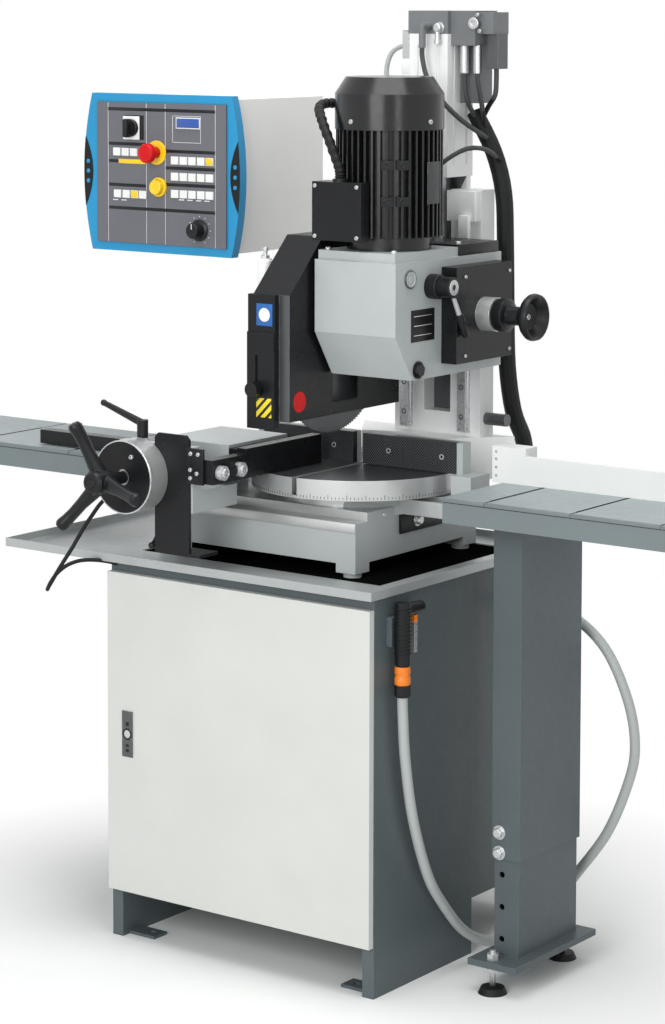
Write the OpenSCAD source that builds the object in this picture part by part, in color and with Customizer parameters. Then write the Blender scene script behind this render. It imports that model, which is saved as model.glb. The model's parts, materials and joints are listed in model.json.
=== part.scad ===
// Cold saw with a vertical head, pneumatic vise, side tables and control console.
// Millimetres. Origin on the floor at the middle of the cabinet, X right, Y back, Z up.

/* [Cabinet] */
// Cabinet width
cab_w = 640; // [580:1:700]
// Cabinet body depth
cab_d = 620; // [580:1:660]
// Height of the cabinet top above the floor
cab_h = 758; // [720:1:800]
// Sheet thickness
sheet_t = 3; // [2:0.5:4]
// Small step between neighbouring faces
edge = 6; // [5:1:8]
// Clear height under the door
foot_h = 98; // [80:1:120]
// Width of each foot
foot_w = 26; // [22:1:34]
// Length of the full-width front part of the side walls
side_l = 330; // [280:1:360]
// Inset of the rear side walls
side_inset = 22; // [14:1:30]
// Length of each rear foot
rear_foot_l = 80; // [60:1:110]
// Width of the return flanges around the door opening
flange_w = 20; // [14:1:26]
// Side of the square anchor tabs
tab_w = 40; // [34:1:50]
// Anchor hole diameter
anchor_d = 14; // [10:1:18]

/* [Door and lock] */
// Strip of the cabinet above the door
door_top = 20; // [12:1:40]
// Door thickness
door_t = 14; // [10:1:20]
// Lock plate width
lock_w = 26; // [20:1:34]
// Lock plate height
lock_h = 93; // [70:1:110]
// Lock barrel diameter
lock_d = 16; // [12:1:20]
// Length of the lock cam
cam_l = 40; // [36:1:46]

/* [Coolant unit] */
// Tank width
tank_w = 420; // [340:1:480]
// Tank depth
tank_d = 360; // [300:1:420]
// Tank height
tank_h = 230; // [160:1:280]
// Pump motor diameter
pump_d = 110; // [80:1:130]
// Pump motor height above the tank
pump_h = 180; // [140:1:220]

/* [Drip tray] */
// Reach of the tray to the left
tray_left = 586; // [540:1:640]
// Reach of the tray to the right
tray_right = 326; // [322:1:360]
// Reach of the tray to the front
tray_front = 330; // [326:1:350]
// Reach of the tray to the back
tray_back = 330; // [320:1:360]
// Height of the tray lip
lip_h = 14; // [8:1:20]
// Margin of the tray opening around the bed
tray_margin = 26; // [16:1:34]

/* [Bed] */
// Left end of the bed
bed_left = 300; // [290:1:330]
// Right face of the bed
bed_right = 185; // [175:1:200]
// Front face of the bed
bed_front = 185; // [180:1:190]
// Back of the bed
bed_back = 232; // [225:1:245]
// Top of the bed ways, above the cabinet
bed_up = 125; // [120:1:130]
// Drop of the front way below the bed top
way_drop = 17; // [12:1:24]
// Width of the dropped front way
way_w = 39; // [32:1:44]
// Height of the arches between the bed feet
arch_h = 18; // [14:1:26]
// Width of the bed feet
bed_foot_w = 46; // [36:1:60]
// Height of the pads under the bed feet
pad_h = 10; // [6:1:14]
// Right end of the arm under the right counter jaw
jaw_arm_x = 372; // [365:1:380]
// Thickness of the table brackets
bracket_t = 12; // [8:1:16]
// Height of the table brackets
bracket_h = 30; // [24:1:36]
// Diameter of the turntable seat on the bed
seat_d = 300; // [280:1:330]

/* [Turret] */
// Turret axis to the right of the cabinet middle
pivot_x = 50; // [40:1:60]
// Turret axis behind the cabinet middle
pivot_y = 10; // [5:1:15]
// Height of the work surface, above the cabinet
table_up = 187; // [182:1:192]
// Turntable radius
disc_r = 211; // [205:1:214]
// Underside of the turntable, above the cabinet
disc_up = 147; // [144:1:150]
// Turret pin diameter
pin_d = 80; // [60:1:100]
// Width of the blade slot
slot_w = 12; // [8:1:16]
// Height of the column foot above the work surface
foot_rise = 45; // [38:1:50]
// Inner radius of the column foot
foot_r = 152; // [148:1:160]
// Left angle of the column foot
foot_left = 33; // [28:1:34]
// Right angle of the column foot
foot_right = 42; // [41:1:43]

/* [Column and feed cylinder] */
// Column width
col_w = 208; // [200:1:220]
// Middle of the column to the right of the turret axis
col_x = 60; // [56:1:64]
// Front of the column behind the turret axis
col_y = 190; // [188:1:194]
// Column thickness
col_t = 48; // [40:1:52]
// Column top, above the cabinet
col_up = 728; // [720:1:742]
// Width of the column slot
col_slot_w = 64; // [60:1:70]
// Spacing of the rails
rail_gap = 140; // [130:1:150]
// Rail width
rail_w = 20; // [15:1:23]
// Rail height off the column
rail_h = 18; // [14:1:20]
// Side of the feed cylinder profile
cyl_w = 92; // [88:1:100]
// Bore of the feed cylinder
cyl_bore = 80; // [70:1:82]
// Length of the feed cylinder
cyl_l = 286; // [270:1:300]
// Height of the cylinder bracket
cyl_foot = 25; // [18:1:30]
// Piston rod diameter
rod_d = 25; // [20:1:30]
// Height of the valve block
valve_h = 46; // [38:1:52]
// Diameter of the hose bundle
bundle_d = 35; // [30:1:40]
// Diameter of the single air hoses
air_d = 10; // [8:1:12]

/* [Head] */
// Left wall of the gearbox right of the turret axis
box_x = 41; // [39:1:44]
// Gearbox width
box_w = 189; // [180:1:196]
// Front of the gearbox before the turret axis
box_front = 200; // [194:1:206]
// Height of the gearbox underside, above the cabinet
box_up = 386; // [382:1:392]
// Gearbox height
box_h = 226; // [220:1:234]
// Height of the sloped chin
chin_h = 87; // [70:1:95]
// Depth of the sloped chin
chin_d = 56; // [45:1:62]
// Gearbox wall
box_t = 10; // [8:1:12]
// Thickness of the gearbox lid
lid_t = 18; // [14:1:22]
// Motor axis right of the turret axis
motor_x = 135; // [133:1:137]
// Spindle and motor axis before the turret axis
spin_y = 87; // [85:1:89]
// Motor cowl radius
cowl_r = 105; // [100:1:106]
// Motor core radius
core_r = 88; // [84:1:92]
// Fin thickness
fin_t = 4; // [3:0.5:5]
// Height of the motor flange
mflange_h = 26; // [20:1:30]
// Height of the finned part
fins_h = 204; // [190:1:214]
// Height of the cowl
cowl_h = 100; // [90:1:110]
// Height of the cowl chamfer
cowl_ch = 32; // [24:1:40]
// Terminal box width
term_w = 114; // [104:1:118]
// Terminal box height
term_h = 112; // [100:1:118]
// Terminal box depth
term_d = 52; // [44:1:60]
// Conduit diameter
conduit_d = 20; // [16:1:24]
// Feed box length
fbox_l = 194; // [180:1:200]
// Feed box height
fbox_h = 186; // [176:1:192]
// Feed box thickness
fbox_t = 35; // [28:1:40]
// Feed collar diameter
collar_d = 66; // [58:1:72]
// Feed knob diameter
dial_d = 92; // [80:1:100]
// Length of the feed knob shaft
dial_l = 92; // [80:1:104]
// Depth of a bearing block
block_d = 27; // [24:1:28]
// Width of a bearing block
block_w = 54; // [46:1:58]
// Height of a bearing block
block_h = 74; // [64:1:80]

/* [Blade and guard] */
// Blade diameter
blade_d = 350; // [340:1:352]
// Blade thickness
blade_t = 2.5; // [2:0.1:3]
// Number of blade teeth
blade_teeth = 140; // [100:1:160]
// Depth of the blade teeth
tooth_d = 3.5; // [2:0.1:5]
// Spindle height, above the cabinet
spin_up = 435; // [432:1:438]
// Spindle diameter
spin_d = 44; // [38:1:46]
// Blade bore diameter
arbor_d = 32; // [30:1:40]
// Blade flange diameter
clamp_d = 100; // [80:1:110]
// Guard width
guard_w = 86; // [82:1:87]
// Left face of the guard left of the turret axis
guard_x = 54; // [52:1:56]
// Front of the guard before the turret axis
guard_front = 268; // [266:1:272]
// Guard length
guard_l = 363; // [358:1:368]
// Guard underside, above the cabinet
guard_up = 303; // [300:1:308]
// Guard height
guard_h = 349; // [344:1:354]
// Size of the sloped front corner
guard_ch = 106; // [96:1:110]
// Guard sheet thickness
guard_t = 3; // [2:0.5:4]
// Width of the front chute
chute_w = 64; // [58:1:68]
// Depth of the front chute
chute_d = 14; // [10:1:18]
// Height of the adjustable front plate
plate_h = 186; // [176:1:194]
// Length of the plate slot
plate_slot = 64; // [50:1:70]
// Guard knob diameter
gknob_d = 28; // [22:1:34]

/* [Counter jaws] */
// Length of the jaw plates over the turntable
jaw_l = 224; // [216:1:232]
// Half of the gap between the jaws
jaw_gap = 12; // [10:1:16]
// Height of the jaw plates
jaw_h = 63; // [56:1:66]
// Thickness of the jaw plates
jaw_t = 14; // [10:1:16]
// Depth of the jaw supports
jaw_back = 14; // [10:1:16]
// Length of the jaw feet
jaw_foot = 46; // [40:1:52]
// Depth of the jaw feet
jaw_foot_d = 66; // [56:1:76]

/* [Vise] */
// Vise screw left of the cabinet middle
vise_x = 200; // [196:1:204]
// Height of the vise screw, above the cabinet
vise_up = 191; // [188:1:194]
// Top of the moving jaw, above the cabinet
mjaw_up = 247; // [242:1:252]
// Width of the moving jaw
mjaw_w = 168; // [160:1:172]
// Left side of the moving jaw beyond the screw
mjaw_left = 30; // [28:1:34]
// Front of the moving jaw
mjaw_front = 262; // [256:1:266]
// Face of the moving jaw
mjaw_back = 75; // [70:1:80]
// Thickness of the clamp bar
bar_t = 24; // [20:1:28]
// Length of the clamp bar
bar_l = 345; // [330:1:355]
// Rear end of the clamp bar
bar_back = 26; // [24:1:40]
// Air cylinder diameter
ring_d = 142; // [134:1:148]
// Air cylinder length
ring_l = 48; // [40:1:54]
// Front of the vise body
vise_front = 360; // [356:1:366]
// Thickness of the cylinder wall of the vise body
wall_t = 22; // [18:1:24]
// Width of the black front plate
fplate_w = 85; // [78:1:88]
// Height of the black front plate
fplate_h = 228; // [216:1:236]
// Underside of the vise apron, above the cabinet
apron_up = 48; // [42:1:54]
// Handwheel spoke length
spoke_l = 110; // [100:1:116]
// Handwheel distance before the air cylinder
wheel_gap = 62; // [54:1:70]
// Vise screw diameter
screw_d = 24; // [20:1:28]
// Length of the guide bar
guide_l = 360; // [330:1:400]
// Side of the guide bar
guide_s = 28; // [24:1:32]
// Clamp lever length
lever_l = 104; // [90:1:116]

/* [Side tables] */
// Left end of the left table
ltab_end = 1160; // [1150:1:1200]
// Right end of the left table
ltab_in = 390; // [384:1:396]
// Left end of the right table
rtab_in = 404; // [398:1:410]
// Right end of the right table
rtab_end = 960; // [930:1:1000]
// Front of the tables
tab_front = 213; // [208:1:218]
// Table width
tab_wide = 283; // [270:1:290]
// Table height
tab_h = 48; // [42:1:52]
// Thickness of the table plates
tab_t = 6; // [4:1:8]
// Width of the table rails
tab_rail = 24; // [18:1:30]
// Width of the gaps between the table plates
tab_gap = 5; // [3:1:7]
// Leg width
leg_w = 62; // [56:1:68]
// Leg depth
leg_d = 215; // [200:1:224]
// Leg wall
leg_t = 4; // [3:0.5:5]
// Middle of the right leg
rleg_x = 487; // [480:1:494]
// Middle of the left leg
lleg_x = 1092; // [1080:1:1095]
// Lower end of the outer leg
leg_z = 250; // [220:1:280]
// Overhang of the leg base plate at each end
base_over = 37.5; // [32:0.5:44]
// Width of the leg base plate
base_w = 106; // [96:1:110]
// Thickness of the leg base plate
base_t = 12; // [10:1:14]
// Height of the leg base plate above the floor
base_z = 52; // [46:1:60]
// Levelling pad diameter
lev_d = 56; // [48:1:62]
// Forward shift of the leg base plate
base_shift = 10; // [0:1:16]
// Distance of a levelling stud from the leg's end face
lev_out = 16.5; // [14.5:0.5:20.5]
// Rule height
rule_h = 55; // [48:1:60]
// Rule thickness
rule_t = 10; // [8:1:12]
// Rule block width
rule_block = 76; // [68:1:80]
// Rule block depth
rule_block_d = 40; // [32:1:46]
// Rule front face behind the turret axis
rule_y = -20; // [-24:1:-16]

/* [Wash gun] */
// Gun distance off the cabinet side
gun_off = 25; // [22:1:30]
// Gun position before the cabinet middle
gun_y = 255; // [248:1:262]
// Lower end of the gun, below the cabinet top
gun_drop = 178; // [168:1:188]
// Gun length
gun_l = 166; // [150:1:172]
// Gun handle diameter
gun_d = 30; // [26:1:34]
// Length of the gun head
nozzle_l = 58; // [50:1:66]
// Wash hose diameter
hose_d = 20; // [16:1:22]
// Vise hose diameter
vhose_d = 8; // [6:1:10]

/* [Console] */
// Console width
con_w = 369; // [362:1:376]
// Console height
con_h = 325; // [316:1:332]
// Right side of the console left of the cabinet middle
con_right = 210; // [205:1:216]
// Front of the console before the cabinet middle
con_front = 66; // [60:1:72]
// Underside of the console frame, above the cabinet
con_up = 588; // [582:1:594]
// Depth of the console frame
con_t = 21; // [16:1:26]
// Depth of the console box
con_d = 290; // [270:1:296]
// Bulge of the frame sides
con_bulge = 22; // [18:1:26]
// Panel thickness
panel_t = 4; // [3:0.5:5]
// Emergency stop diameter
stop_d = 40; // [34:1:44]
// Start button diameter
start_d = 30; // [26:1:34]
// Console knob diameter
cknob_d = 44; // [38:1:48]
// Key size
key_w = 19; // [14:1:20]
// Key height above the panel
key_t = 3; // [2:0.5:4]
// Swing arm length
arm_l = 210; // [205:1:215]
// Swing arm height
arm_h = 30; // [24:1:34]
// Swing arm height, above the cabinet
arm_up = 662; // [657:1:667]
// Arm pin diameter
arm_pin_d = 16; // [12:1:18]

/* [Hidden] */
$fn = 64;
run_gap = 0.4;
fit_gap = 0.05;
over = 1;
tube_sides = 10;

// Derived levels and faces
bed_z = cab_h + bed_up;
table_z = cab_h + table_up;
disc_z = cab_h + disc_up;
col_z = cab_h + col_up;
box_z = cab_h + box_up;
spin_z = cab_h + spin_up;
guard_z = cab_h + guard_up;
vise_z = cab_h + vise_up;
mjaw_z = cab_h + mjaw_up;
apron_z = cab_h + apron_up;
con_z = cab_h + con_up;
arm_z = cab_h + arm_up;
gun_z = cab_h - gun_drop;
door_h = cab_h - foot_h - door_top;
base_l = leg_d + base_over * 2;
lev_gap = leg_d + lev_out * 2;
tray_z = cab_h + sheet_t;
bed_foot_z = cab_h + pad_h;
jaw_y = pivot_y;
col_mid = pivot_x + col_x;
col_front = pivot_y + col_y;
foot_z = table_z + foot_rise;
spin_yy = pivot_y - spin_y;
motor_xx = pivot_x + motor_x;
box_left = pivot_x + box_x;
box_right = box_left + box_w;
box_ff = pivot_y - box_front;
box_back = col_front - block_d - run_gap;
box_top = box_z + box_h;
lid_z = box_top + lid_t;
fins_z = lid_z + mflange_h;
cowl_z = fins_z + fins_h;
cyl_z = col_z + cyl_foot;
cyl_top = cyl_z + cyl_l;
cyl_y = col_front + rail_h / 2;
guard_lx = pivot_x - guard_x;
guard_rx = guard_lx + guard_w;
guard_fy = pivot_y - guard_front;
guard_top = guard_z + guard_h;
tab_z = table_z - tab_h;
con_lx = -con_right - con_w;
panel_x0 = con_lx + con_bulge * 0.75;
panel_x1 = -con_right - con_bulge * 0.5;
panel_z0 = con_z + con_bulge * 0.8;
panel_z1 = con_z + con_h - con_bulge * 0.8;
panel_back = -con_front + con_t * 0.3;
dial_y = pivot_y + fbox_l * 0.26;
dial_z = box_z + box_t * 2.4 + fbox_h * 0.485;
yoke_z = spin_z - rod_d;
knob_x = guard_lx + chute_w * 0.36;
knob_z = guard_z - guard_t * 4 + plate_h * 0.4;
panel_y = -con_front - panel_t;
gun_x = cab_w / 2 + gun_off;
wheel_y = -vise_front - ring_l - wheel_gap;
ring_y = -vise_front - sheet_t * 2;

// Shares used for places along a length
third_shares = [1 / 6, 1 / 2, 5 / 6];
switch_share = [0.283, 0.82];
stop_share = [0.472, 0.651];
start_share = [0.492, 0.409];
turn_share = [0.8, 0.121];
key_left_shares = [[0.163, 0.648], [0.23, 0.648], [0.295, 0.648],
    [0.168, 0.349], [0.237, 0.349], [0.302, 0.349], [0.366, 0.349]];
key_col_shares = [0.615, 0.682, 0.748, 0.815, 0.88];
key_row_shares = [0.367, 0.488, 0.602];
screen_share = [0.626, 0.826];
rail_share = 0.97;
tooth_shares = [[0, 0], [0.35, 1], [0.7, 0.5]];
bolt_shares = [0.74, 0.86];
spoke_angles = [110, -10, 230];
spoke_lean = 18;
fin_count = 44;
pinion_teeth = 24;
crown_teeth = 36;
gear_dist = 40;
gear_face = 12;
gear_wave = 1.2;
gear_cone = atan(crown_teeth / pinion_teeth);
gear_z = spin_z + gear_dist * sin(gear_cone);

// Hose places and routes, chosen points in the machine frame
port_xs = [176, 208];
port_y = 194;
port_z = cyl_top - valve_h * 1.7;
gland = [150, -190, 1512];
wash_route = [[gun_x, -gun_y, gun_z - over], [345, -254, 540], [345, -245, 446],
    [345, -219, 328], [346, -173, 213],
    [348, -125, 144], [352, -47, 66], [368, 40, 26], [392, 110, 24], [424, 152, 66], [459, 162, 133],
    [541, 162, 245], [590, 162, 359], [602, 162, 431], [586, 162, 513], [539, 162, 603], [471, 168, 654],
    [390, 184, 668], [344, 190, 670], [322, 190, 670], [298, 190, 670]];
vise_route = [[-257.4, -392, 903.4], [-272, -392, 892], [-330, -384, 845], [-384, -377, 790],
    [-425, -373, 740], [-448.7, -369, 708], [-455, -360.5, 682.5], [-470, -340, 672], [-485, -319.5, 682.5],
    [-491.3, -311, 708], [-480.7, -310, 733.5], [-455, -313, 744], [-415, -325, 748], [-378, -338, 751],
    [-342, -346, 752], [-324, -341.2, 752], [-310.8, -328, 752], [-306, -310, 752]];
bundle_route = [[176, 232, 1640], [222, 232, 1562], [246, 232, 1482], [250, 234, 1381], [250, 238, 1250],
    [250, 244, 1133], [252, 264, 1040], [254, 296, 985], [254, 306, 950], [254, 306, 934],
    [254, 306, 917.4]];
hose_routes = [
    [[port_xs[0], port_y, port_z], [port_xs[0], port_y, 1704], [180, 198, 1664], [188, 226, 1622]],
    [[port_xs[1], port_y, port_z], [port_xs[1], port_y, 1704], [208, 206, 1666], [206, 226, 1604]],
    [[112, 138, cyl_top - valve_h * 0.6], [112, 138, 1752], [124, 138, 1710],
        [150, 144, 1670], [184, 172, 1626],
        [216, 218, 1590]],
    [[244, 222, 1546], [228, 196, 1568], [200, 168, 1570], [166, 146, 1548],
        [144, 146, 1528], [136, 151, 1524],
        [136, 157, 1524], [136, 163, 1524]],
    [[240, 212, 1728], [240, 212, 1705], [236, 214, 1676], [216, 222, 1654], [198, 228, 1630]],
    [[27.2, 205, 1770], [14, 205, 1770], [-6, 202, 1758], [-16, 198, 1730],
        [-14, 196, 1690], [-6, 200, 1600],
        [-6, 206, 1500], [-8, 214, 1440], [-8, 216, 1418], [-4, 216, 1412], [1, 216, 1412], [6, 216, 1412]]
];
conduit_route = [gland, [150, -190, 1529], [148, -191, 1548], [126, -188, 1592],
    [90, -166, 1634], [56, -128, 1658], [48, -80, 1664],
    [58, -20, 1654], [78, 34, 1620], [92, 72, 1550], [98, 94, 1460], [98, 98, 1424], [98, 98, 1406],
    [98, 98, 1388]];

// Helpers
module slab(lo, hi) {
    translate(lo) cube(hi - lo);
}

module rod_x(d, x0, x1, y, z) {
    translate([x0, y, z]) rotate([0, 90, 0]) cylinder(d = d, h = x1 - x0);
}

module rod_y(d, y0, y1, x, z) {
    translate([x, y0, z]) rotate([-90, 0, 0]) cylinder(d = d, h = y1 - y0);
}

module rod_z(d, z0, z1, x, y) {
    translate([x, y, z0]) cylinder(d = d, h = z1 - z0);
}

// Smooth points through a route, and a round tube along them
function route_at(p, i) = p[min(max(i, 0), len(p) - 1)];
function spline_point(a, b, c, d, t) =
    0.5 * (2 * b + (c - a) * t + (2 * a - 5 * b + 4 * c - d) * t * t + (3 * b - a - 3 * c + d) * t * t * t);
function spline(p, n) = [
    for (i = [0 : len(p) - 2])
        for (k = [0 : n - 1])
            spline_point(route_at(p, i - 1), p[i], p[i + 1], route_at(p, i + 2), k / n),
    p[len(p) - 1]
];
function unit_of(v) = v / norm(v);
function tangent(p, i) = unit_of(route_at(p, i + 1) - route_at(p, i - 1));

module sweep(p, radii, sides, ref) {
    rings = len(p);
    points = [
        for (i = [0 : rings - 1])
            let (t = tangent(p, i), u = unit_of(cross(t, ref)), v = cross(t, u))
                for (k = [0 : sides - 1])
                    p[i] + radii[i % len(radii)] * (u * cos(360 * k / sides) + v * sin(360 * k / sides))
    ];
    walls = [
        for (i = [0 : rings - 2])
            for (k = [0 : sides - 1])
                let (a = i * sides, b = a + sides, n = (k + 1) % sides) [a + k, b + k, b + n, a + n]
    ];
    ends = [[for (k = [0 : sides - 1]) k], [for (k = [0 : sides - 1]) rings * sides - 1 - k]];
    polyhedron(points, concat(walls, ends), convexity = 8);
}

// Bevel gear with waved teeth about Z, its cone apex at the origin
module bevel(teeth, cone, wave) {
    steps = teeth * 6;
    function ring(dist) = [
        for (k = [0 : steps - 1])
            let (a = 360 * k / steps, off = wave * cos(teeth * a) * dist / gear_dist - run_gap / 2)
                [(dist * sin(cone) + off * cos(cone)) * cos(a), (dist * sin(cone) + off * cos(cone)) * sin(a),
                    dist * cos(cone) - off * sin(cone)]
    ];
    far = ring(gear_dist);
    near = ring(gear_dist - gear_face);
    points = concat(near, far, [[0, 0, (gear_dist - gear_face) * cos(cone)],
        [0, 0, gear_dist * cos(cone)]]);
    faces = concat(
        [for (k = [0 : steps - 1]) [k, (k + 1) % steps, steps + (k + 1) % steps, steps + k]],
        [for (k = [0 : steps - 1]) [(k + 1) % steps, k, 2 * steps]],
        [for (k = [0 : steps - 1]) [steps + k, steps + (k + 1) % steps, 2 * steps + 1]]);
    intersection() {
        polyhedron(points, [for (f = faces) [for (i = [len(f) - 1 : -1 : 0]) f[i]]], convexity = 8);
        rod_z(gear_dist * 2, (gear_dist - gear_face) * cos(cone) + wave * sin(cone),
            gear_dist * cos(cone) - wave * sin(cone), 0, 0);
    }
}

// Cabinet, door and what the cabinet holds
module anchor_places() {
    for (sx = [-1, 1])
        for (sy = [-1, 1])
            translate([sx * (cab_w / 2 - side_inset - foot_w - tab_w / 2), sy * (cab_d / 2 - tab_w), 0])
                children();
}

module cabinet() {
    x = cab_w / 2;
    xr = x - side_inset;
    y = cab_d / 2;
    ys = side_l - y;
    color([0.24, 0.29, 0.31]) {
        difference() {
            union() {
                slab([-x, -y, 0], [x, ys, cab_h]);
                slab([-xr, ys - over, foot_h], [xr, y, cab_h]);
                slab([-x, -y, cab_h - sheet_t], [x, y, cab_h]);
                for (sx = [-1, 1])
                    slab([sx * xr - (sx + 1) / 2 * foot_w, y - rear_foot_l, 0],
                        [sx * xr + (1 - sx) / 2 * foot_w, y, foot_h + over]);
            }
            slab([-x + foot_w, -y - over, -over], [x - foot_w, ys + over, foot_h]);
            slab([-x + sheet_t, -y + sheet_t, foot_h + sheet_t],
                [x - sheet_t, ys - sheet_t, cab_h - sheet_t]);
            slab([-xr + sheet_t, -y + sheet_t, foot_h + sheet_t],
                [xr - sheet_t, y - sheet_t, cab_h - sheet_t]);
            slab([-x + flange_w, -y - over, foot_h + flange_w],
                [x - flange_w, -y + sheet_t + over, foot_h + door_h - flange_w]);
        }
        difference() {
            for (sy = [-1, 1])
                for (sx = [-1, 1])
                    slab([sx * xr - tab_w * (sx + 1) * 0.85, sy * (y - tab_w) - tab_w / 2, 0],
                        [sx * xr + tab_w * (1 - sx) * 0.85, sy * (y - tab_w) + tab_w / 2, sheet_t * 2]);
            anchor_places() rod_z(anchor_d, -over, sheet_t * 2 + over, 0, 0);
        }
        slab([x - over, -gun_y - gun_d / 2, gun_z + gun_l * third_shares[1]],
            [gun_x - gun_d / 2, -gun_y + gun_d / 2, gun_z + gun_l * third_shares[2]]);
    }
}

module door() {
    x = cab_w / 2 - over;
    y = -cab_d / 2 - run_gap;
    z1 = foot_h + door_h;
    lock_x = -x + lock_w * 2;
    lock_z = foot_h + door_h / 2;
    color([0.78, 0.78, 0.75])
        difference() {
            union() {
                slab([-x, y - door_t, foot_h], [x, y, z1]);
                slab([lock_x - lock_w / 2, y - door_t - sheet_t / 2, lock_z - lock_h / 2],
                    [lock_x + lock_w / 2, y - door_t + over, lock_z + lock_h / 2]);
            }
            slab([-x + sheet_t, y - door_t + sheet_t, foot_h + sheet_t],
                [x - sheet_t, y + over, z1 - sheet_t]);
            rod_y(lock_d + run_gap, y - door_t * 2, y + over, lock_x, lock_z);
        }
}

module door_lock() {
    x = -cab_w / 2 + over + lock_w * 2;
    y = -cab_d / 2 - run_gap;
    z = foot_h + door_h / 2;
    color([0.7, 0.71, 0.72]) {
        rod_y(lock_d, y - door_t - sheet_t, y + sheet_t * 2 + run_gap * 2, x, z);
        slab([x - lock_d / 2, y + run_gap * 2 + sheet_t, z],
            [x + lock_d / 2, y + run_gap * 2 + sheet_t * 2, z + cam_l]);
    }
}

module coolant_unit() {
    z = foot_h + sheet_t;
    color([0.35, 0.38, 0.4]) {
        difference() {
            slab([-tank_w / 2, -tank_d / 2, z], [tank_w / 2, tank_d / 2, z + tank_h]);
            slab([-tank_w / 2 + sheet_t, -tank_d / 2 + sheet_t, z + sheet_t],
                [tank_w / 2 - sheet_t, tank_d / 2 - sheet_t, z + tank_h + over]);
        }
        slab([tank_w / 2 - pump_d * 1.2, -tank_d / 2, z + tank_h - over],
            [tank_w / 2, tank_d / 2, z + tank_h + sheet_t]);
        rod_z(pump_d, z + tank_h, z + tank_h + pump_h, tank_w / 2 - pump_d * 0.6, 0);
        rod_z(pump_d * 0.6, z + sheet_t * 4, z + tank_h + over, tank_w / 2 - pump_d * 0.6, 0);
    }
}

module drip_tray() {
    color([0.7, 0.71, 0.7])
        difference() {
            slab([-tray_left, -tray_front, cab_h], [tray_right, tray_back, tray_z + lip_h]);
            slab([-tray_left + sheet_t, -tray_front + sheet_t, tray_z],
                [tray_right - sheet_t, tray_back - sheet_t, tray_z + lip_h + over]);
            slab([-bed_left - tray_margin, -bed_front - tray_margin, cab_h - over],
                [pivot_x + disc_r, bed_back + tray_margin, tray_z + over]);
        }
}

// Bed casting with its ways, the arm of the right jaw and the table brackets
module bed() {
    arm_y = jaw_y - jaw_foot_d * 0.3;
    color([0.62, 0.66, 0.69])
        difference() {
            union() {
                slab([-bed_left, -bed_front, bed_foot_z], [bed_right, bed_back, bed_z - way_drop]);
                slab([-bed_left, -bed_front + way_w, bed_foot_z], [bed_right, bed_back, bed_z]);
                for (fx = [-bed_left + bed_foot_w / 2, bed_right - bed_foot_w / 2])
                    for (fy = [-bed_front + bed_foot_w / 2, bed_back - bed_foot_w / 2])
                        rod_z(bed_foot_w - pad_h, cab_h, bed_foot_z + over, fx, fy);
                rod_z(seat_d, bed_z - arch_h, disc_z, pivot_x, pivot_y);
                slab([-bed_left, arm_y, bed_z - arch_h], [pivot_x, arm_y + jaw_foot_d, tab_z]);
                slab([pivot_x, arm_y, bed_z - arch_h], [jaw_arm_x, arm_y + jaw_foot_d, disc_z - sheet_t]);
                slab([bed_right - over, -tab_front / 5, tab_z - bracket_h],
                    [rtab_in, -tab_front / 5 + bracket_t, tab_z]);
                slab([-ltab_in, bracket_h, tab_z - bracket_h],
                    [-bed_left + over, bracket_h + bracket_t, tab_z]);
            }
            slab([-bed_left + bed_foot_w, -bed_front - over, bed_foot_z - over],
                [bed_right - bed_foot_w, bed_back + over, bed_foot_z + arch_h]);
            slab([-bed_left - over, -bed_front + bed_foot_w, bed_foot_z - over],
                [bed_right + over, bed_back - bed_foot_w, bed_foot_z + arch_h]);
            rod_z(pin_d + run_gap / 4, bed_foot_z, disc_z + over, pivot_x, pivot_y);
        }
}

// Side tables, legs and rule
module table_of(x0, x1) {
    y0 = -tab_front;
    y1 = y0 + tab_wide;
    color([0.42, 0.47, 0.51])
        difference() {
            slab([x0, y0, tab_z], [x1, y1, table_z]);
            slab([x0 + tab_rail, y0 + tab_rail, tab_z - over],
                [x1 - tab_rail, y1 - tab_rail, table_z - tab_t]);
            for (s = third_shares)
                slab([x0 + (x1 - x0) * s, y0 - over, table_z - tab_t / 2],
                    [x0 + (x1 - x0) * s + tab_gap, y1 + over, table_z + over]);
        }
}

module left_table() {
    table_of(-ltab_end, -ltab_in);
}

module right_table() {
    table_of(rtab_in, rtab_end);
}

module at_legs() {
    for (x = [-lleg_x, rleg_x])
        translate([x, -tab_front + tab_wide / 2 + leg_w, 0]) children();
}

module table_legs() {
    color([0.24, 0.29, 0.31])
        at_legs() {
            difference() {
                slab([-leg_w / 2, -leg_d / 2, leg_z], [leg_w / 2, leg_d / 2, tab_z - leg_t]);
                slab([-leg_w / 2 + leg_t, -leg_d / 2 + leg_t, leg_z - over],
                    [leg_w / 2 - leg_t, leg_d / 2 - leg_t, tab_z]);
            }
            slab([-leg_w, -leg_d / 2, tab_z - leg_t], [leg_w, leg_d / 2 - leg_w * 0.7, tab_z]);
        }
}

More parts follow.
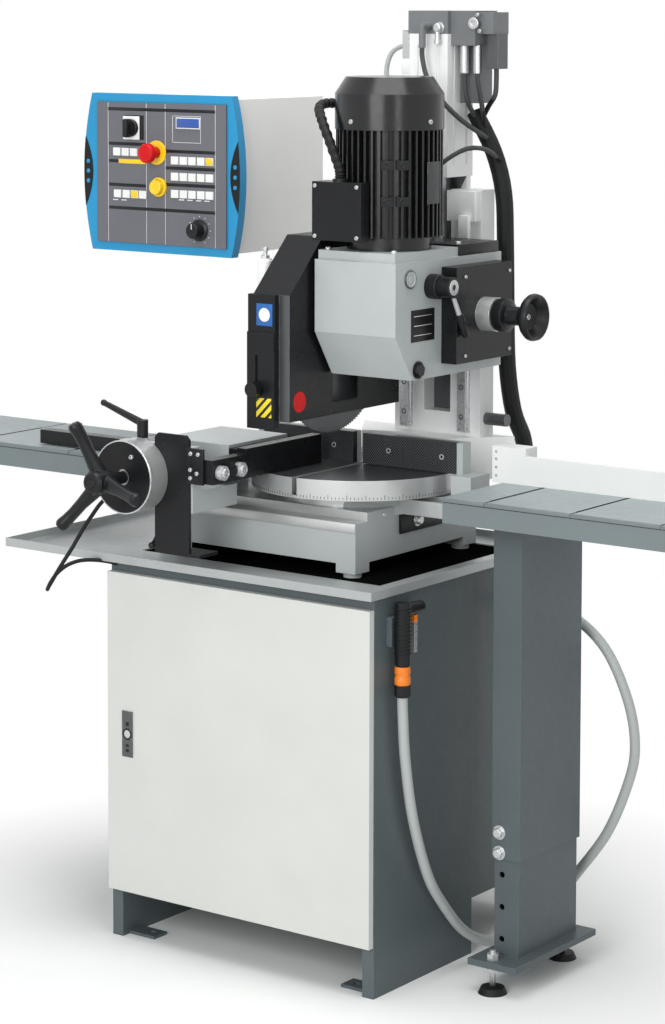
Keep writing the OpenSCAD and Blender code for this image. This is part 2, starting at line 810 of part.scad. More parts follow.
module leg_posts() {
    color([0.24, 0.29, 0.31])
        at_legs() {
            difference() {
                slab([-leg_w / 2 + leg_t, -leg_d / 2 + leg_t, base_z],
                    [leg_w / 2 - leg_t, leg_d / 2 - leg_t, leg_z * 1.4]);
                slab([-leg_w / 2 + leg_t * 2, -leg_d / 2 + leg_t * 2, base_z + base_t],
                    [leg_w / 2 - leg_t * 2, leg_d / 2 - leg_t * 2, leg_z * 1.4 + over]);
                for (s = third_shares)
                    rod_y(leg_t * 3, -leg_d, 0, -leg_w / 6, base_z + base_t + (leg_z - base_z - base_t) * s);
            }
            difference() {
                slab([-base_w / 2, -base_l / 2 - base_shift, base_z],
                    [base_w / 2, base_l / 2 - base_shift, base_z + base_t]);
                for (sy = [-1, 1])
                    translate([-base_shift, sy * lev_gap / 2 - base_shift, 0])
                        rod_z(base_t, base_z - over, base_z + base_t + over, 0, 0);
            }
        }
}

module leveling_feet() {
    color([0.12, 0.12, 0.13])
        at_legs()
            for (sy = [-1, 1])
                translate([-base_shift, sy * lev_gap / 2 - base_shift, 0]) {
                    cylinder(d1 = lev_d, d2 = lev_d * 0.8, h = base_t);
                    cylinder(d = base_t, h = base_z + base_t * 2.5);
                    translate([0, 0, base_z - base_t]) cylinder(d = base_t * 2, h = base_t, $fn = 6);
                    translate([0, 0, base_z + base_t]) cylinder(d = base_t * 2, h = base_t, $fn = 6);
                }
}

module length_rule() {
    x0 = rtab_in - bed_foot_w / 2;
    y = pivot_y + rule_y;
    color([0.78, 0.79, 0.8]) {
        slab([x0, y, table_z], [x0 + rule_block, y + rule_block_d, table_z + rule_h * 1.27]);
        slab([rtab_in, y, table_z], [rtab_end, y + rule_t, table_z + rule_h]);
    }
}

// Wash gun and the two free hoses
module spray_gun() {
    top = gun_z + gun_l;
    color([0.1, 0.1, 0.1]) {
        rod_z(gun_d, gun_z + gun_l * third_shares[1] * 0.6, top, gun_x, -gun_y);
        rod_z(gun_d * 0.8, gun_z, top, gun_x, -gun_y);
        rod_y(gun_d * 0.8, -gun_y, -gun_y + nozzle_l, gun_x, top - gun_d / 2);
    }
}

module gun_trigger() {
    d = gun_d * 0.3;
    z = gun_z + gun_l - gun_d * 0.9 - run_gap - d / 2;
    y = -gun_y + gun_d + d / 2;
    color([0.95, 0.5, 0.08]) {
        rod_x(d, gun_x - gun_d / 5, gun_x + gun_d / 5, y, z);
        slab([gun_x - gun_d / 5, y - d / 2, z - gun_l * 0.4], [gun_x + gun_d / 5, y + d / 2, z]);
    }
}

module wash_hose() {
    color([0.72, 0.73, 0.72]) sweep(spline(wash_route, 4), [hose_d / 2], tube_sides, [1, 0.15, 0.1]);
}

module vise_hose() {
    color([0.08, 0.08, 0.08]) sweep(spline(vise_route, 4), [vhose_d / 2], tube_sides - 2, [0.1, 1, 0.1]);
}

// Turret: turntable with its pin, and the column that stands on it
module turret() {
    z0 = disc_z + run_gap;
    color([0.6, 0.62, 0.63])
        translate([pivot_x, pivot_y, 0])
            difference() {
                union() {
                    rod_z(disc_r * 2, z0, table_z, 0, 0);
                    rod_z(pin_d, bed_foot_z + arch_h, z0 + over, 0, 0);
                }
                slab([-slot_w / 2, -disc_r - over, table_z - foot_rise * 0.75],
                    [slot_w / 2, foot_r * 0.2, table_z + over]);
            }
}

// Wedge foot that bolts the column to the turntable, with the plate for the hoses
module column_foot() {
    z0 = disc_z + run_gap;
    translate([pivot_x, pivot_y, 0]) {
        difference() {
            intersection() {
                rod_z(col_y * 4, z0, foot_z, 0, 0);
                linear_extrude(foot_z)
                    difference() {
                        polygon([[0, 0], [col_y * 2 * sin(foot_right), col_y * 2 * cos(foot_right)],
                            [-col_y * 2 * sin(foot_left), col_y * 2 * cos(foot_left)]]);
                        circle(r = foot_r);
                        translate([-col_y * 2, col_y + col_t + over]) square([col_y * 4, col_y * 2]);
                    }
            }
            rod_z((disc_r + fit_gap) * 2, z0 - over, table_z, 0, 0);
        }
        slab([col_x + col_w * 0.2, col_y + col_t, z0],
            [col_x + col_w * 0.8, col_y + col_t + bundle_d * 2.4, z0 + base_t]);
    }
}

module column() {
    x0 = col_mid - col_w / 2;
    x1 = col_mid + col_w / 2;
    y1 = col_front + col_t;
    pin_y = y1 + arm_h / 2;
    ear = arm_h * 0.26;
    color([0.83, 0.84, 0.84]) {
        column_foot();
        difference() {
            slab([x0, col_front, foot_z - over], [x1, y1, col_z]);
            slab([col_mid - col_slot_w / 2, col_front - over, foot_z + foot_rise],
                [col_mid + col_slot_w / 2, y1 + over, col_z + over]);
        }
        slab([col_mid - cyl_w / 2, cyl_y + rod_d, col_z - over], [col_mid + cyl_w / 2, y1, cyl_z]);
        slab([col_mid - cyl_w / 2, y1 - col_t / 4, foot_z], [col_mid + cyl_w / 2, y1, cyl_z]);
        rod_x(rod_d, x1 - over, x1 + rod_d * 2, col_front + col_t / 2, foot_z + rod_d * 1.4);
        for (z = [arm_z - ear - run_gap, arm_z + arm_h + run_gap])
            slab([x0 - arm_h - col_t / 4, y1 - over - arm_h / 2, z],
                [x0 + arm_h, pin_y + arm_h / 2, z + ear]);
        slab([x0, y1 - over, arm_z - ear - run_gap], [x0 + arm_h, pin_y, arm_z + arm_h + ear + run_gap]);
        rod_z(arm_pin_d, arm_z - ear - run_gap, arm_z + arm_h + ear, x0 - arm_h / 2, pin_y);
    }
}

module rails() {
    color([0.75, 0.76, 0.77])
        for (x = [col_mid - rail_gap / 2, col_mid + rail_gap / 2])
            difference() {
                slab([x - rail_w / 2, col_front - rail_h, foot_z + rail_w / 2],
                    [x + rail_w / 2, col_front, foot_z + (col_z - foot_z) * rail_share]);
                for (s = [-1, 1])
                    translate([x + s * rail_w / 2, col_front - rail_h / 2, foot_z])
                        rotate([0, 0, 45]) slab([-rail_w / 10, -rail_w / 10, 0],
                            [rail_w / 10, rail_w / 10, col_z]);
            }
}

module feed_cylinder() {
    groove = cyl_w / 14;
    color([0.82, 0.83, 0.84])
        difference() {
            slab([col_mid - cyl_w / 2, cyl_y - cyl_w / 2, cyl_z],
                [col_mid + cyl_w / 2, cyl_y + cyl_w / 2, cyl_top]);
            rod_z(cyl_bore, cyl_z + base_t, cyl_top - base_t, col_mid, cyl_y);
            rod_z(rod_d + fit_gap * 2, cyl_z - over, cyl_z + base_t + over, col_mid, cyl_y);
            for (a = [0 : 90 : 270])
                for (s = [-1, 1])
                    translate([col_mid, cyl_y, cyl_z + base_t * 2]) rotate([0, 0, a])
                        slab([cyl_w / 2 - groove / 2, s * cyl_w / 4 - groove / 2, 0],
                            [cyl_w / 2 + over, s * cyl_w / 4 + groove / 2, cyl_l - base_t * 4]);
        }
}

module valve_block() {
    x0 = col_mid - cyl_w / 2;
    x1 = col_mid + cyl_w / 2;
    yf = cyl_y - cyl_w / 2;
    yb = cyl_y + cyl_w / 2;
    color([0.3, 0.31, 0.32]) {
        slab([x0 - sheet_t, yf, cyl_top], [x1, yb, cyl_top + valve_h]);
        slab([x1, yf + base_t, cyl_top - valve_h / 2], [x1 + cyl_w * 0.62, yb, cyl_top + valve_h]);
        slab([x1 + cyl_w * 0.62, yf + base_t * 2, cyl_top],
            [x1 + cyl_w, yb - base_t, cyl_top + valve_h * 0.94]);
        slab([x1, cyl_y, cyl_top - valve_h * 3], [x1 + cyl_w * 0.5, yb, cyl_top - valve_h / 2]);
        slab([x1 + cyl_w * 0.76, yf + base_t * 3, cyl_top - valve_h * 1.5],
            [x1 + cyl_w * 1.04, yf + base_t * 6, cyl_top + over]);
        slab([x0 - cyl_w * 0.4, cyl_y - base_t * 1.5, cyl_top - valve_h * 1.75],
            [x0, cyl_y + base_t * 1.5, cyl_top + edge]);
        for (x = port_xs) rod_z(air_d * 1.8, port_z, cyl_top - valve_h / 2 + over, x, port_y);
        rod_y(air_d * 1.6, yf - air_d * 3, yf + over, hose_routes[2][0][0], cyl_top + valve_h / 3);
        translate(hose_routes[2][0]) cylinder(d = air_d * 1.4, h = valve_h);
    }
}

module air_hoses() {
    color([0.09, 0.09, 0.09]) {
        sweep(spline(bundle_route, 4), [bundle_d / 2], tube_sides + 2, [1, 0.2, 0.15]);
        for (p = hose_routes)
            sweep(spline(p, 3), [air_d / 2], tube_sides - 2, [0.3, 1, 0.12]);
    }
}

// Head: gearbox with lid, carriage, motor and feed box
module gearbox_profile(grow) {
    polygon([[box_ff - grow, box_top + grow], [box_back + grow, box_top + grow],
        [box_back + grow, box_z - grow],
        [box_ff + chin_d - grow / 2, box_z - grow], [box_ff - grow, box_z + chin_h - grow / 2]]);
}

module gearbox() {
    color([0.64, 0.67, 0.7]) {
        difference() {
            union() {
                translate([box_left, 0, 0]) rotate([90, 0, 90]) linear_extrude(box_w) gearbox_profile(0);
                slab([box_left + box_t / 2, box_ff + box_t / 2, box_top - over],
                    [box_right - box_t / 2, box_back - box_t, lid_z]);
                rod_x(spin_d * 1.8, guard_rx + run_gap * 8, box_left + over, spin_yy, spin_z);
                slab([guard_rx + run_gap, box_ff + box_t * 3, spin_z + spin_d],
                    [box_left + over, box_ff + box_t * 6, box_top - box_t]);
                slab([col_mid - rod_d, box_back - over, yoke_z],
                    [col_mid + rod_d, cyl_y + rod_d, yoke_z + rod_d * 2]);
            }
            translate([box_left + box_t, 0, 0]) rotate([90, 0, 90]) linear_extrude(box_w - box_t * 2)
                intersection() {
                    gearbox_profile(-box_t);
                    translate([box_ff, box_z]) square([box_front * 1.2, box_h]);
                }
            rod_x(spin_d + fit_gap * 2, guard_rx, box_left + box_t * 2, spin_yy, spin_z);
            rod_x(spin_d * 0.6 + fit_gap * 2, motor_xx, box_right - box_t / 3, spin_yy, spin_z);
            rod_z(spin_d + fit_gap * 2, box_top - box_t * 2, lid_z + over, motor_xx, spin_yy);
            rod_z(rod_d, yoke_z - over, yoke_z + rod_d * 2 + over, col_mid, cyl_y);
        }
    }
}

module bearing_blocks() {
    groove = rail_w / 2 + run_gap;
    color([0.55, 0.56, 0.57])
        for (x = [col_mid - rail_gap / 2, col_mid + rail_gap / 2])
            for (z = [box_z + block_h / 2, box_top - block_h / 2])
                translate([x, 0, z])
                    difference() {
                        slab([-block_w / 2, box_back, -block_h / 2],
                            [block_w / 2, col_front - run_gap * 2, block_h / 2]);
                        slab([-groove, col_front - rail_h - run_gap, -block_h],
                            [groove, col_front + over, block_h]);
                    }
}

module motor() {
    color([0.07, 0.07, 0.08])
        difference() {
            union() {
                rod_z(core_r * 2 - mflange_h / 2, lid_z, fins_z, motor_xx, spin_yy);
                rod_z(core_r * 2, fins_z - over, cowl_z, motor_xx, spin_yy);
                for (k = [0 : fin_count - 1])
                    translate([motor_xx, spin_yy, fins_z]) rotate([0, 0, 360 * k / fin_count])
                        slab([core_r - over, -fin_t / 2, 0], [cowl_r - fin_t / 2, fin_t / 2, fins_h]);
            }
            rod_z(core_r * 1.4, fins_z + fin_t * 2, cowl_z - fin_t * 2, motor_xx, spin_yy);
            rod_z(spin_d + fit_gap * 2, lid_z - over, cowl_z + over, motor_xx, spin_yy);
        }
}

module motor_cowl() {
    color([0.07, 0.07, 0.08])
        translate([motor_xx, spin_yy, cowl_z])
            difference() {
                union() {
                    cylinder(r = cowl_r, h = cowl_h - cowl_ch);
                    translate([0, 0, cowl_h - cowl_ch])
                        cylinder(r1 = cowl_r, r2 = core_r * 0.96, h = cowl_ch);
                }
                translate([0, 0, -over]) cylinder(r = cowl_r - fin_t, h = cowl_h - cowl_ch + over);
                translate([0, 0, cowl_h - cowl_ch - over])
                    cylinder(r = core_r * 0.9, h = cowl_ch + over - fin_t);
            }
}

module terminal_box() {
    x0 = box_left + fin_t;
    y1 = spin_yy - core_r * 0.86;
    z0 = fins_z - edge;
    color([0.08, 0.08, 0.09])
        difference() {
            union() {
                slab([x0, y1 - term_d, z0], [x0 + term_w, y1, z0 + term_h]);
                rod_z(conduit_d * 1.4, z0 + term_h - over, z0 + term_h + edge, gland[0], gland[1]);
            }
            rod_z(cowl_r * 2 - fin_t + fit_gap * 2, lid_z - over, cowl_z, motor_xx, spin_yy);
            rod_z(conduit_d, gland[2], cowl_z, gland[0], gland[1]);
        }
}

module motor_conduit() {
    color([0.06, 0.06, 0.06])
        sweep(spline(conduit_route, 12), conduit_d * [0.5, 0.5, 0.43, 0.43], tube_sides, [0.4, 1, 0.3]);
}

module feed_box() {
    y0 = dial_y - fbox_l / 2;
    z0 = box_z + box_t * 2.4;
    x1 = box_right + fbox_t;
    color([0.07, 0.07, 0.08]) {
        slab([box_right, y0, z0], [x1, y0 + fbox_l, z0 + fbox_h]);
        difference() {
            rod_x(collar_d, x1 - over, x1 + dial_l * 0.34, dial_y, dial_z);
            rod_x(rod_d + fit_gap * 2, x1, x1 + dial_l, dial_y, dial_z);
        }
    }
}

module feed_knob() {
    r = dial_d / 2;
    ring_r = collar_d * 0.42;
    shaft_r = rod_d / 2;
    shape_shares = [[0, 0], [shaft_r, 0], [shaft_r, 0.36], [ring_r, 0.36], [ring_r, 0.6], [shaft_r, 0.64],
        [shaft_r, 0.92], [r * 0.9, 1.1], [r, 1.2], [r * 0.9, 1.32], [r * 0.55, 1.24], [0, 1.2]];
    color([0.07, 0.07, 0.07])
        translate([box_right + fbox_t + run_gap, dial_y, dial_z]) rotate([0, 90, 0])
            rotate_extrude() polygon([for (p = shape_shares) [p[0], p[1] * dial_l]]);
}

module feed_rod() {
    color([0.8, 0.81, 0.82]) {
        rod_z(rod_d, yoke_z - rod_d, cyl_top - cyl_l / 2, col_mid, cyl_y);
        rod_z(cyl_bore - fit_gap * 2, cyl_top - cyl_l / 2, cyl_top - cyl_l / 2 + base_t * 2, col_mid, cyl_y);
        translate([col_mid, cyl_y, yoke_z - rod_d]) cylinder(d = rod_d * 1.6, h = rod_d, $fn = 6);
    }
}

// Drive
module spindle() {
    x0 = pivot_x + blade_t / 2;
    nut_x = pivot_x - fbox_t;
    color([0.6, 0.61, 0.62]) {
        rod_x(clamp_d, x0, guard_rx - guard_t * 2, spin_yy, spin_z);
        rod_x(spin_d, x0, motor_xx - rod_d, spin_yy, spin_z);
        rod_x(spin_d * 0.6, motor_xx - rod_d - over, box_right - box_t / 2, spin_yy, spin_z);
        rod_x(arbor_d, nut_x, x0 + over, spin_yy, spin_z);
        rod_x(clamp_d, pivot_x - blade_t / 2 - base_t, pivot_x - blade_t / 2, spin_yy, spin_z);
        translate([nut_x, spin_yy, spin_z]) rotate([0, 90, 0])
            cylinder(d = spin_d * 1.2, h = base_t * 2, $fn = 6);
        translate([motor_xx, spin_yy, spin_z]) rotate([0, 90, 0]) rotate([0, 0, 180 / crown_teeth])
            bevel(crown_teeth, gear_cone, gear_wave);
    }
}

module blade() {
    r = blade_d / 2;
    color([0.42, 0.43, 0.44])
        translate([pivot_x - blade_t / 2, spin_yy, spin_z]) rotate([0, 90, 0])
            linear_extrude(blade_t)
                difference() {
                    polygon([
                        for (k = [0 : blade_teeth - 1])
                            for (s = tooth_shares)
                                let (a = 360 * (k + s[0]) / blade_teeth)
                                    (r - tooth_d * s[1]) * [cos(a), sin(a)]
                    ]);
                    circle(d = arbor_d);
                }
}

module rotor() {
    color([0.5, 0.5, 0.52]) {
        rod_z(spin_d, gear_z + gear_wave * 2, cowl_z + cowl_h * 0.3, motor_xx, spin_yy);
        rod_z(core_r * 1.3, fins_z + fins_h * 0.2, fins_z + fins_h * 0.8, motor_xx, spin_yy);
        rod_z(core_r * 1.6, cowl_z + cowl_h * 0.2, cowl_z + cowl_h * 0.3, motor_xx, spin_yy);
        rod_z(rod_d, gear_z - gear_face / 2, gear_z + edge * 2, motor_xx, spin_yy);
        translate([motor_xx, spin_yy, spin_z]) bevel(pinion_teeth, 90 - gear_cone, gear_wave);
    }
}

// Guard that rises along the head while the head feeds down
module guard_profile(grow) {
    y1 = guard_fy + guard_l;
    polygon([[guard_fy - grow, guard_z], [y1 + grow, guard_z], [y1 + grow, guard_top + grow],
        [guard_fy + guard_ch - grow * 0.4, guard_top + grow],
            [guard_fy - grow, guard_top - guard_ch + grow * 0.4]]);
}

module guard() {
    x0 = guard_lx - sheet_t;
    color([0.06, 0.06, 0.07]) {
        difference() {
            union() {
                translate([guard_lx, 0, 0]) rotate([90, 0, 90]) linear_extrude(guard_w) guard_profile(0);
                slab([x0, guard_fy - chute_d, guard_z - guard_t * 4],
                    [x0 + chute_w, guard_fy + over, guard_top - guard_ch]);
            }
            translate([guard_lx + guard_t, 0, -over]) rotate([90, 0, 90])
                linear_extrude(guard_w - guard_t * 2) guard_profile(-guard_t);
            slab([guard_rx - guard_t * 2, spin_yy - spin_d * 0.95, guard_z + guard_t * 8],
                [guard_rx + over, spin_yy + spin_d * 0.95, guard_top - guard_ch]);
        }
        rod_y(gknob_d * 0.4, guard_fy - chute_d - guard_t * 4, guard_fy - chute_d + over, knob_x, knob_z);
    }
}

module guard_plate() {
    y = guard_fy - chute_d - run_gap;
    x0 = guard_lx - sheet_t;
    z0 = guard_z - guard_t * 5;
    half = gknob_d * 0.2 + run_gap;
    color([0.07, 0.07, 0.08])
        difference() {
            slab([x0, y - guard_t, z0], [x0 + chute_w, y, z0 + plate_h]);
            slab([knob_x - half, y - guard_t - over, knob_z - half],
                [knob_x + half, y + over, knob_z + plate_slot]);
        }
}

module guard_knob() {
    y = guard_fy - chute_d - run_gap * 2 - guard_t;
    color([0.06, 0.06, 0.06])
        difference() {
            rod_y(gknob_d, y - gknob_d * 0.8, y, knob_x, knob_z);
            rod_y(gknob_d * 0.4 + fit_gap * 2, y - gknob_d * 0.6, y + over, knob_x, knob_z);
        }
}

module speed_lever() {
    y = spin_yy + fin_t;
    z = box_top - term_w * 0.44;
    x = box_right + run_gap;
    color([0.07, 0.07, 0.07]) {
        rod_x(rod_d * 1.6, x, x + fbox_t + rod_d * 0.7, y, z);
        translate([x + fbox_t + rod_d * 0.35, y, z]) rotate([-150, 0, 0])
            cylinder(d1 = rod_d * 0.3, d2 = rod_d * 0.5, h = term_h);
    }
}

// Counter jaws on the bed
module jaw_support(sx, z0) {
    xi = pivot_x + sx * jaw_gap;
    xo = xi + sx * jaw_l;
    xe = xo + sx * jaw_t;
    xf = xo + sx * jaw_foot;
    y0 = jaw_y + jaw_t;
    yf = jaw_y - jaw_foot_d * 0.3;
    color([0.62, 0.66, 0.69]) {
        slab([min(xi, xo), y0, table_z + run_gap * 4], [max(xi, xo), y0 + jaw_back, table_z + jaw_h]);
        slab([min(xo, xe), jaw_y, table_z + run_gap * 4], [max(xo, xe), y0 + jaw_back, table_z + jaw_h]);
        slab([min(xo, xf), yf, z0], [max(xo, xf), yf + jaw_foot_d, table_z + run_gap * 5]);
    }
}

module jaw_plate(sx) {
    xi = pivot_x + sx * jaw_gap;
    xo = xi + sx * jaw_l;
    color([0.09, 0.09, 0.1])
        slab([min(xi, xo), jaw_y, table_z + run_gap * 4], [max(xi, xo), jaw_y + jaw_t, table_z + jaw_h]);
}

module left_jaw() {
    jaw_support(-1, tab_z + run_gap);
}

module left_jaw_plate() {
    jaw_plate(-1);
}

module right_jaw() {
    jaw_support(1, disc_z - sheet_t + run_gap);
}

module right_jaw_plate() {
    jaw_plate(1);
}

// Vise
module vise_carriage() {
    disc_clear = disc_r + run_gap * 12;
    a_right = pivot_x - disc_clear - edge;
    key_z = vise_z - screw_d;
    wall_left = -vise_x - ring_d * 0.39;
    b_left = -vise_x + ring_d * 0.28;
    color([0.62, 0.66, 0.69])
        difference() {
            union() {
                slab([wall_left - edge, -bed_front - way_w, bed_z + run_gap],
                    [a_right, -mjaw_back * 0.8, key_z]);
                slab([b_left, -vise_front, bed_z + run_gap],
                    [-fplate_w * 0.85, -bed_front - way_w, key_z]);
                slab([b_left, -vise_front, apron_z],
                    [-fplate_w * 1.3, -vise_front + wall_t * 2, bed_z + run_gap * 2]);
                slab([wall_left - edge, -vise_front, bed_z + run_gap],
                    [b_left + over, -bed_front - way_w + over, key_z]);
                slab([wall_left, -vise_front, bed_z + run_gap],
                    [-fplate_w * 0.85, -vise_front + wall_t, mjaw_z + edge]);
            }
            rod_y(screw_d + fit_gap * 2, -vise_front - over, -vise_front + wall_t + over, -vise_x, vise_z);
        }
}

module vise_plate() {
    x0 = -vise_x + ring_d * 0.27;
    color([0.07, 0.07, 0.08])
        difference() {
            union() {
                slab([x0, -vise_front - sheet_t * 2, apron_z],
                    [x0 + fplate_w, -vise_front, apron_z + fplate_h]);
                slab([x0, -vise_front - sheet_t * 2, apron_z - sheet_t * 2],
                    [x0 + fplate_w * 1.3, -vise_front + fplate_w * 0.6, apron_z]);
            }
            for (x = [x0, x0 + fplate_w])
                translate([x, -vise_front, apron_z + fplate_h]) rotate([0, 45, 0])
                    cube(sheet_t * 4, center = true);
            rod_y(screw_d * 2.4, -vise_front - sheet_t * 3, -vise_front + over, -vise_x, vise_z);
        }
}

module vise_cylinder() {
    color([0.72, 0.73, 0.74])
        difference() {
            union() {
                rod_y(ring_d, ring_y - ring_l, ring_y, -vise_x, vise_z);
                rod_y(screw_d * 2.3, ring_y - over, -vise_front, -vise_x, vise_z);
            }
            rod_y(screw_d + fit_gap * 2, ring_y - ring_l - over, -vise_front + over, -vise_x, vise_z);
        }
}

module guide_bar() {
    x1 = -vise_x - ring_d * 0.39 - edge;
    color([0.08, 0.08, 0.09]) {
        slab([x1 - guide_l, -bed_front, table_z + sheet_t],
            [x1, -bed_front + guide_s, table_z + sheet_t + guide_s]);
        slab([x1 - guide_s * 0.5, -bed_front, bed_z + sheet_t],
            [x1, -bed_front + guide_s, table_z + sheet_t + over]);
    }
}

module moving_jaw() {
    x0 = -vise_x - mjaw_left;
    split = pivot_x - disc_r - run_gap * 18;
    key_z = vise_z - screw_d + run_gap;
    color([0.62, 0.66, 0.69])
        difference() {
            union() {
                slab([x0, -mjaw_front, key_z], [split, -mjaw_back, mjaw_z]);
                slab([x0, -mjaw_front, table_z + sheet_t], [x0 + mjaw_w, -mjaw_back, mjaw_z]);
            }
            rod_y(screw_d + fit_gap * 2, -mjaw_front - over, -mjaw_back - base_t, -vise_x, vise_z);
        }
}

module clamp_bar() {
    x0 = -vise_x - mjaw_left + mjaw_w;
    xb = x0 + bar_t;
    color([0.07, 0.07, 0.08]) {
        slab([x0, -mjaw_front, table_z + over], [xb + over, -mjaw_front + bar_l * 0.3, mjaw_z - edge]);
        slab([xb, -bar_back - bar_l, table_z + over],
            [xb + bar_t, -bar_back - bar_l * 0.68, mjaw_z - edge * 2]);
        slab([xb, -bar_back - bar_l * 0.7, table_z + over], [xb + bar_t, -bar_back, mjaw_z - edge / 3]);
        for (s = bolt_shares)
            rod_x(screw_d, xb + bar_t - over, xb + bar_t + base_t, -bar_back - bar_l * s, table_z + bar_t);
    }
}

module handwheel() {
    color([0.07, 0.07, 0.07]) {
        rod_y(screw_d * 1.6, wheel_y - screw_d, wheel_y + screw_d * 0.6, -vise_x, vise_z);
        rod_y(screw_d, wheel_y, -mjaw_front + screw_d * 3, -vise_x, vise_z);
        for (a = spoke_angles)
            translate([-vise_x, wheel_y, vise_z]) rotate([0, 90 - a, 0]) translate([0, 0, screw_d * 0.4])
                rotate([spoke_lean, 0, 0]) cylinder(d1 = screw_d * 0.7, d2 = screw_d * 0.9, h = spoke_l);
    }
}

module clamp_lever() {
    x = -vise_x - edge;
    y = -vise_front + wall_t / 2;
    z = mjaw_z + edge + run_gap;
    color([0.1, 0.1, 0.1])
        translate([x, y, z]) {
            cylinder(d = wall_t, h = screw_d * 1.7);
            translate([0, 0, screw_d * 1.4]) rotate([0, -72, 0])
                cylinder(d1 = wall_t * 0.7, d2 = wall_t * 0.5, h = lever_l);
        }
}

module slide_lever() {
    x = -vise_x + ring_d * 0.28 - run_gap;
    color([0.07, 0.07, 0.07])
        translate([x, -vise_front + wall_t * 1.4, apron_z + wall_t * 2]) {
            rotate([0, -90, 0]) cylinder(d = wall_t * 0.8, h = wall_t * 0.7);
            translate([-wall_t * 0.4, 0, 0]) rotate([135, 0, 0]) {
                cylinder(d = wall_t * 0.3, h = wall_t * 2.4);
                translate([0, 0, wall_t * 2.4]) sphere(d = wall_t * 0.6);
            }
        }
}

// Console on its swing arm
function frame_arc(x, s, n) = [
    for (k = [0 : n])
        let (t = k / n) [x + s * con_bulge * 4 * t * (1 - t), con_z + con_h * (s > 0 ? t : 1 - t)]
];

module console_frame() {
    color([0.05, 0.5, 0.75])
        difference() {
            translate([0, -con_front + con_t, 0]) rotate([90, 0, 0]) linear_extrude(con_t)
                polygon(concat(frame_arc(-con_right, 1, 12), frame_arc(con_lx, -1, 12)));
            slab([panel_x0, -con_front - over, panel_z0], [panel_x1, panel_back, panel_z1]);
        }
}

function panel_at(s) = [panel_x0 + (panel_x1 - panel_x0) * s[0], panel_z0 + (panel_z1 - panel_z0) * s[1]];

module console_panel() {
    holes = [[stop_d, stop_share], [start_d, start_share], [cknob_d, turn_share], [stop_d, switch_share]];
    color([0.45, 0.48, 0.5])
        difference() {
            slab([panel_x0, panel_y, panel_z0], [panel_x1, panel_back, panel_z1]);
            for (h = holes)
                let (at = panel_at(h[1]))
                    rod_y(h[0] * 0.5 + run_gap * 2, panel_y - over, panel_back + over, at[0], at[1]);
        }
}

module console_box() {
    x0 = con_lx + con_bulge / 2;
    x1 = -con_right - con_bulge / 8;
    y0 = -con_front + con_t;
    z0 = con_z + con_bulge / 3;
    z1 = con_z + con_h - con_bulge / 3;
    ear = arm_h * 0.26;
    pin_x = col_mid - col_w / 2 - arm_h / 2 - arm_l;
    pin_y = col_front + col_t + arm_h / 2;
    color([0.74, 0.75, 0.75]) {
        difference() {
            slab([x0, y0, z0], [x1, y0 + con_d, z1]);
            slab([x0 + sheet_t, y0 - over, z0 + sheet_t],
                [x1 - sheet_t, y0 + con_d - sheet_t, z1 - sheet_t]);
        }
        for (z = [arm_z - ear - run_gap, arm_z + arm_h + run_gap])
            slab([pin_x - arm_h / 2, y0 + con_d - over, z],
                [pin_x + arm_h / 2, pin_y + arm_h / 2, z + ear]);
        rod_z(arm_pin_d, arm_z - ear, arm_z + arm_h + ear, pin_x, pin_y);
    }
}

module console_arm() {
    x1 = col_mid - col_w / 2 - arm_h / 2;
    y = col_front + col_t + arm_h / 2;
    color([0.3, 0.32, 0.34])
        difference() {
            union() {
                for (x = [x1 - arm_l, x1]) rod_z(arm_h, arm_z, arm_z + arm_h, x, y);
                slab([x1 - arm_l, y - arm_h * 0.35, arm_z + arm_h * 0.1],
                    [x1, y + arm_h * 0.35, arm_z + arm_h * 0.9]);
            }
            for (x = [x1 - arm_l, x1])
                rod_z(arm_pin_d + fit_gap * 2, arm_z - over, arm_z + arm_h + over, x, y);
        }
}

module console_keys() {
    key_h = key_w * 0.85;
    right_keys = [for (r = key_row_shares) for (c = key_col_shares) [c, r]];
    color([0.85, 0.86, 0.86]) {
        for (k = concat(key_left_shares, right_keys))
            translate([panel_at(k)[0] - key_w / 2, panel_y - key_t, panel_at(k)[1] - key_h / 2])
                cube([key_w, key_t, key_h]);
        translate([panel_at(screen_share)[0], panel_y - key_t, panel_at(screen_share)[1]])
            cube([key_w * 3.3, key_t, key_w * 1.2]);
    }
}

// Body of a turning control with its shaft through the panel
module turned_control(share, d, long) {
    at = panel_at(share);
    rod_y(d, panel_y - run_gap - long, panel_y - run_gap, at[0], at[1]);
    rod_y(d * 0.5, panel_y - run_gap - over, panel_back - over, at[0], at[1]);
}

// Push button standing off the panel by a gap, with its stem
module push_control(share, d, stand, long) {
    at = panel_at(share);
    rod_y(d, panel_y - stand - long, panel_y - stand, at[0], at[1]);
    rod_y(d * 0.5, panel_y - stand - over, panel_back - stand, at[0], at[1]);
}

module main_switch() {
    at = panel_at(switch_share);
    color([0.07, 0.07, 0.07]) {
        turned_control(switch_share, stop_d, stop_d * 0.3);
        slab([at[0] - stop_d * 0.12, panel_y - stop_d * 0.7, at[1] - stop_d / 2],
            [at[0] + stop_d * 0.12, panel_y - stop_d * 0.29, at[1] + stop_d / 2]);
    }
}

module estop_button() {
    color([0.8, 0.05, 0.04]) push_control(stop_share, stop_d, edge * 1.6, stop_d * 0.75);
}

module start_button() {
    color([0.9, 0.75, 0.05]) push_control(start_share, start_d, edge, start_d * 0.35);
}

module console_knob() {
    color([0.06, 0.06, 0.06]) turned_control(turn_share, cknob_d, cknob_d * 0.6);
}

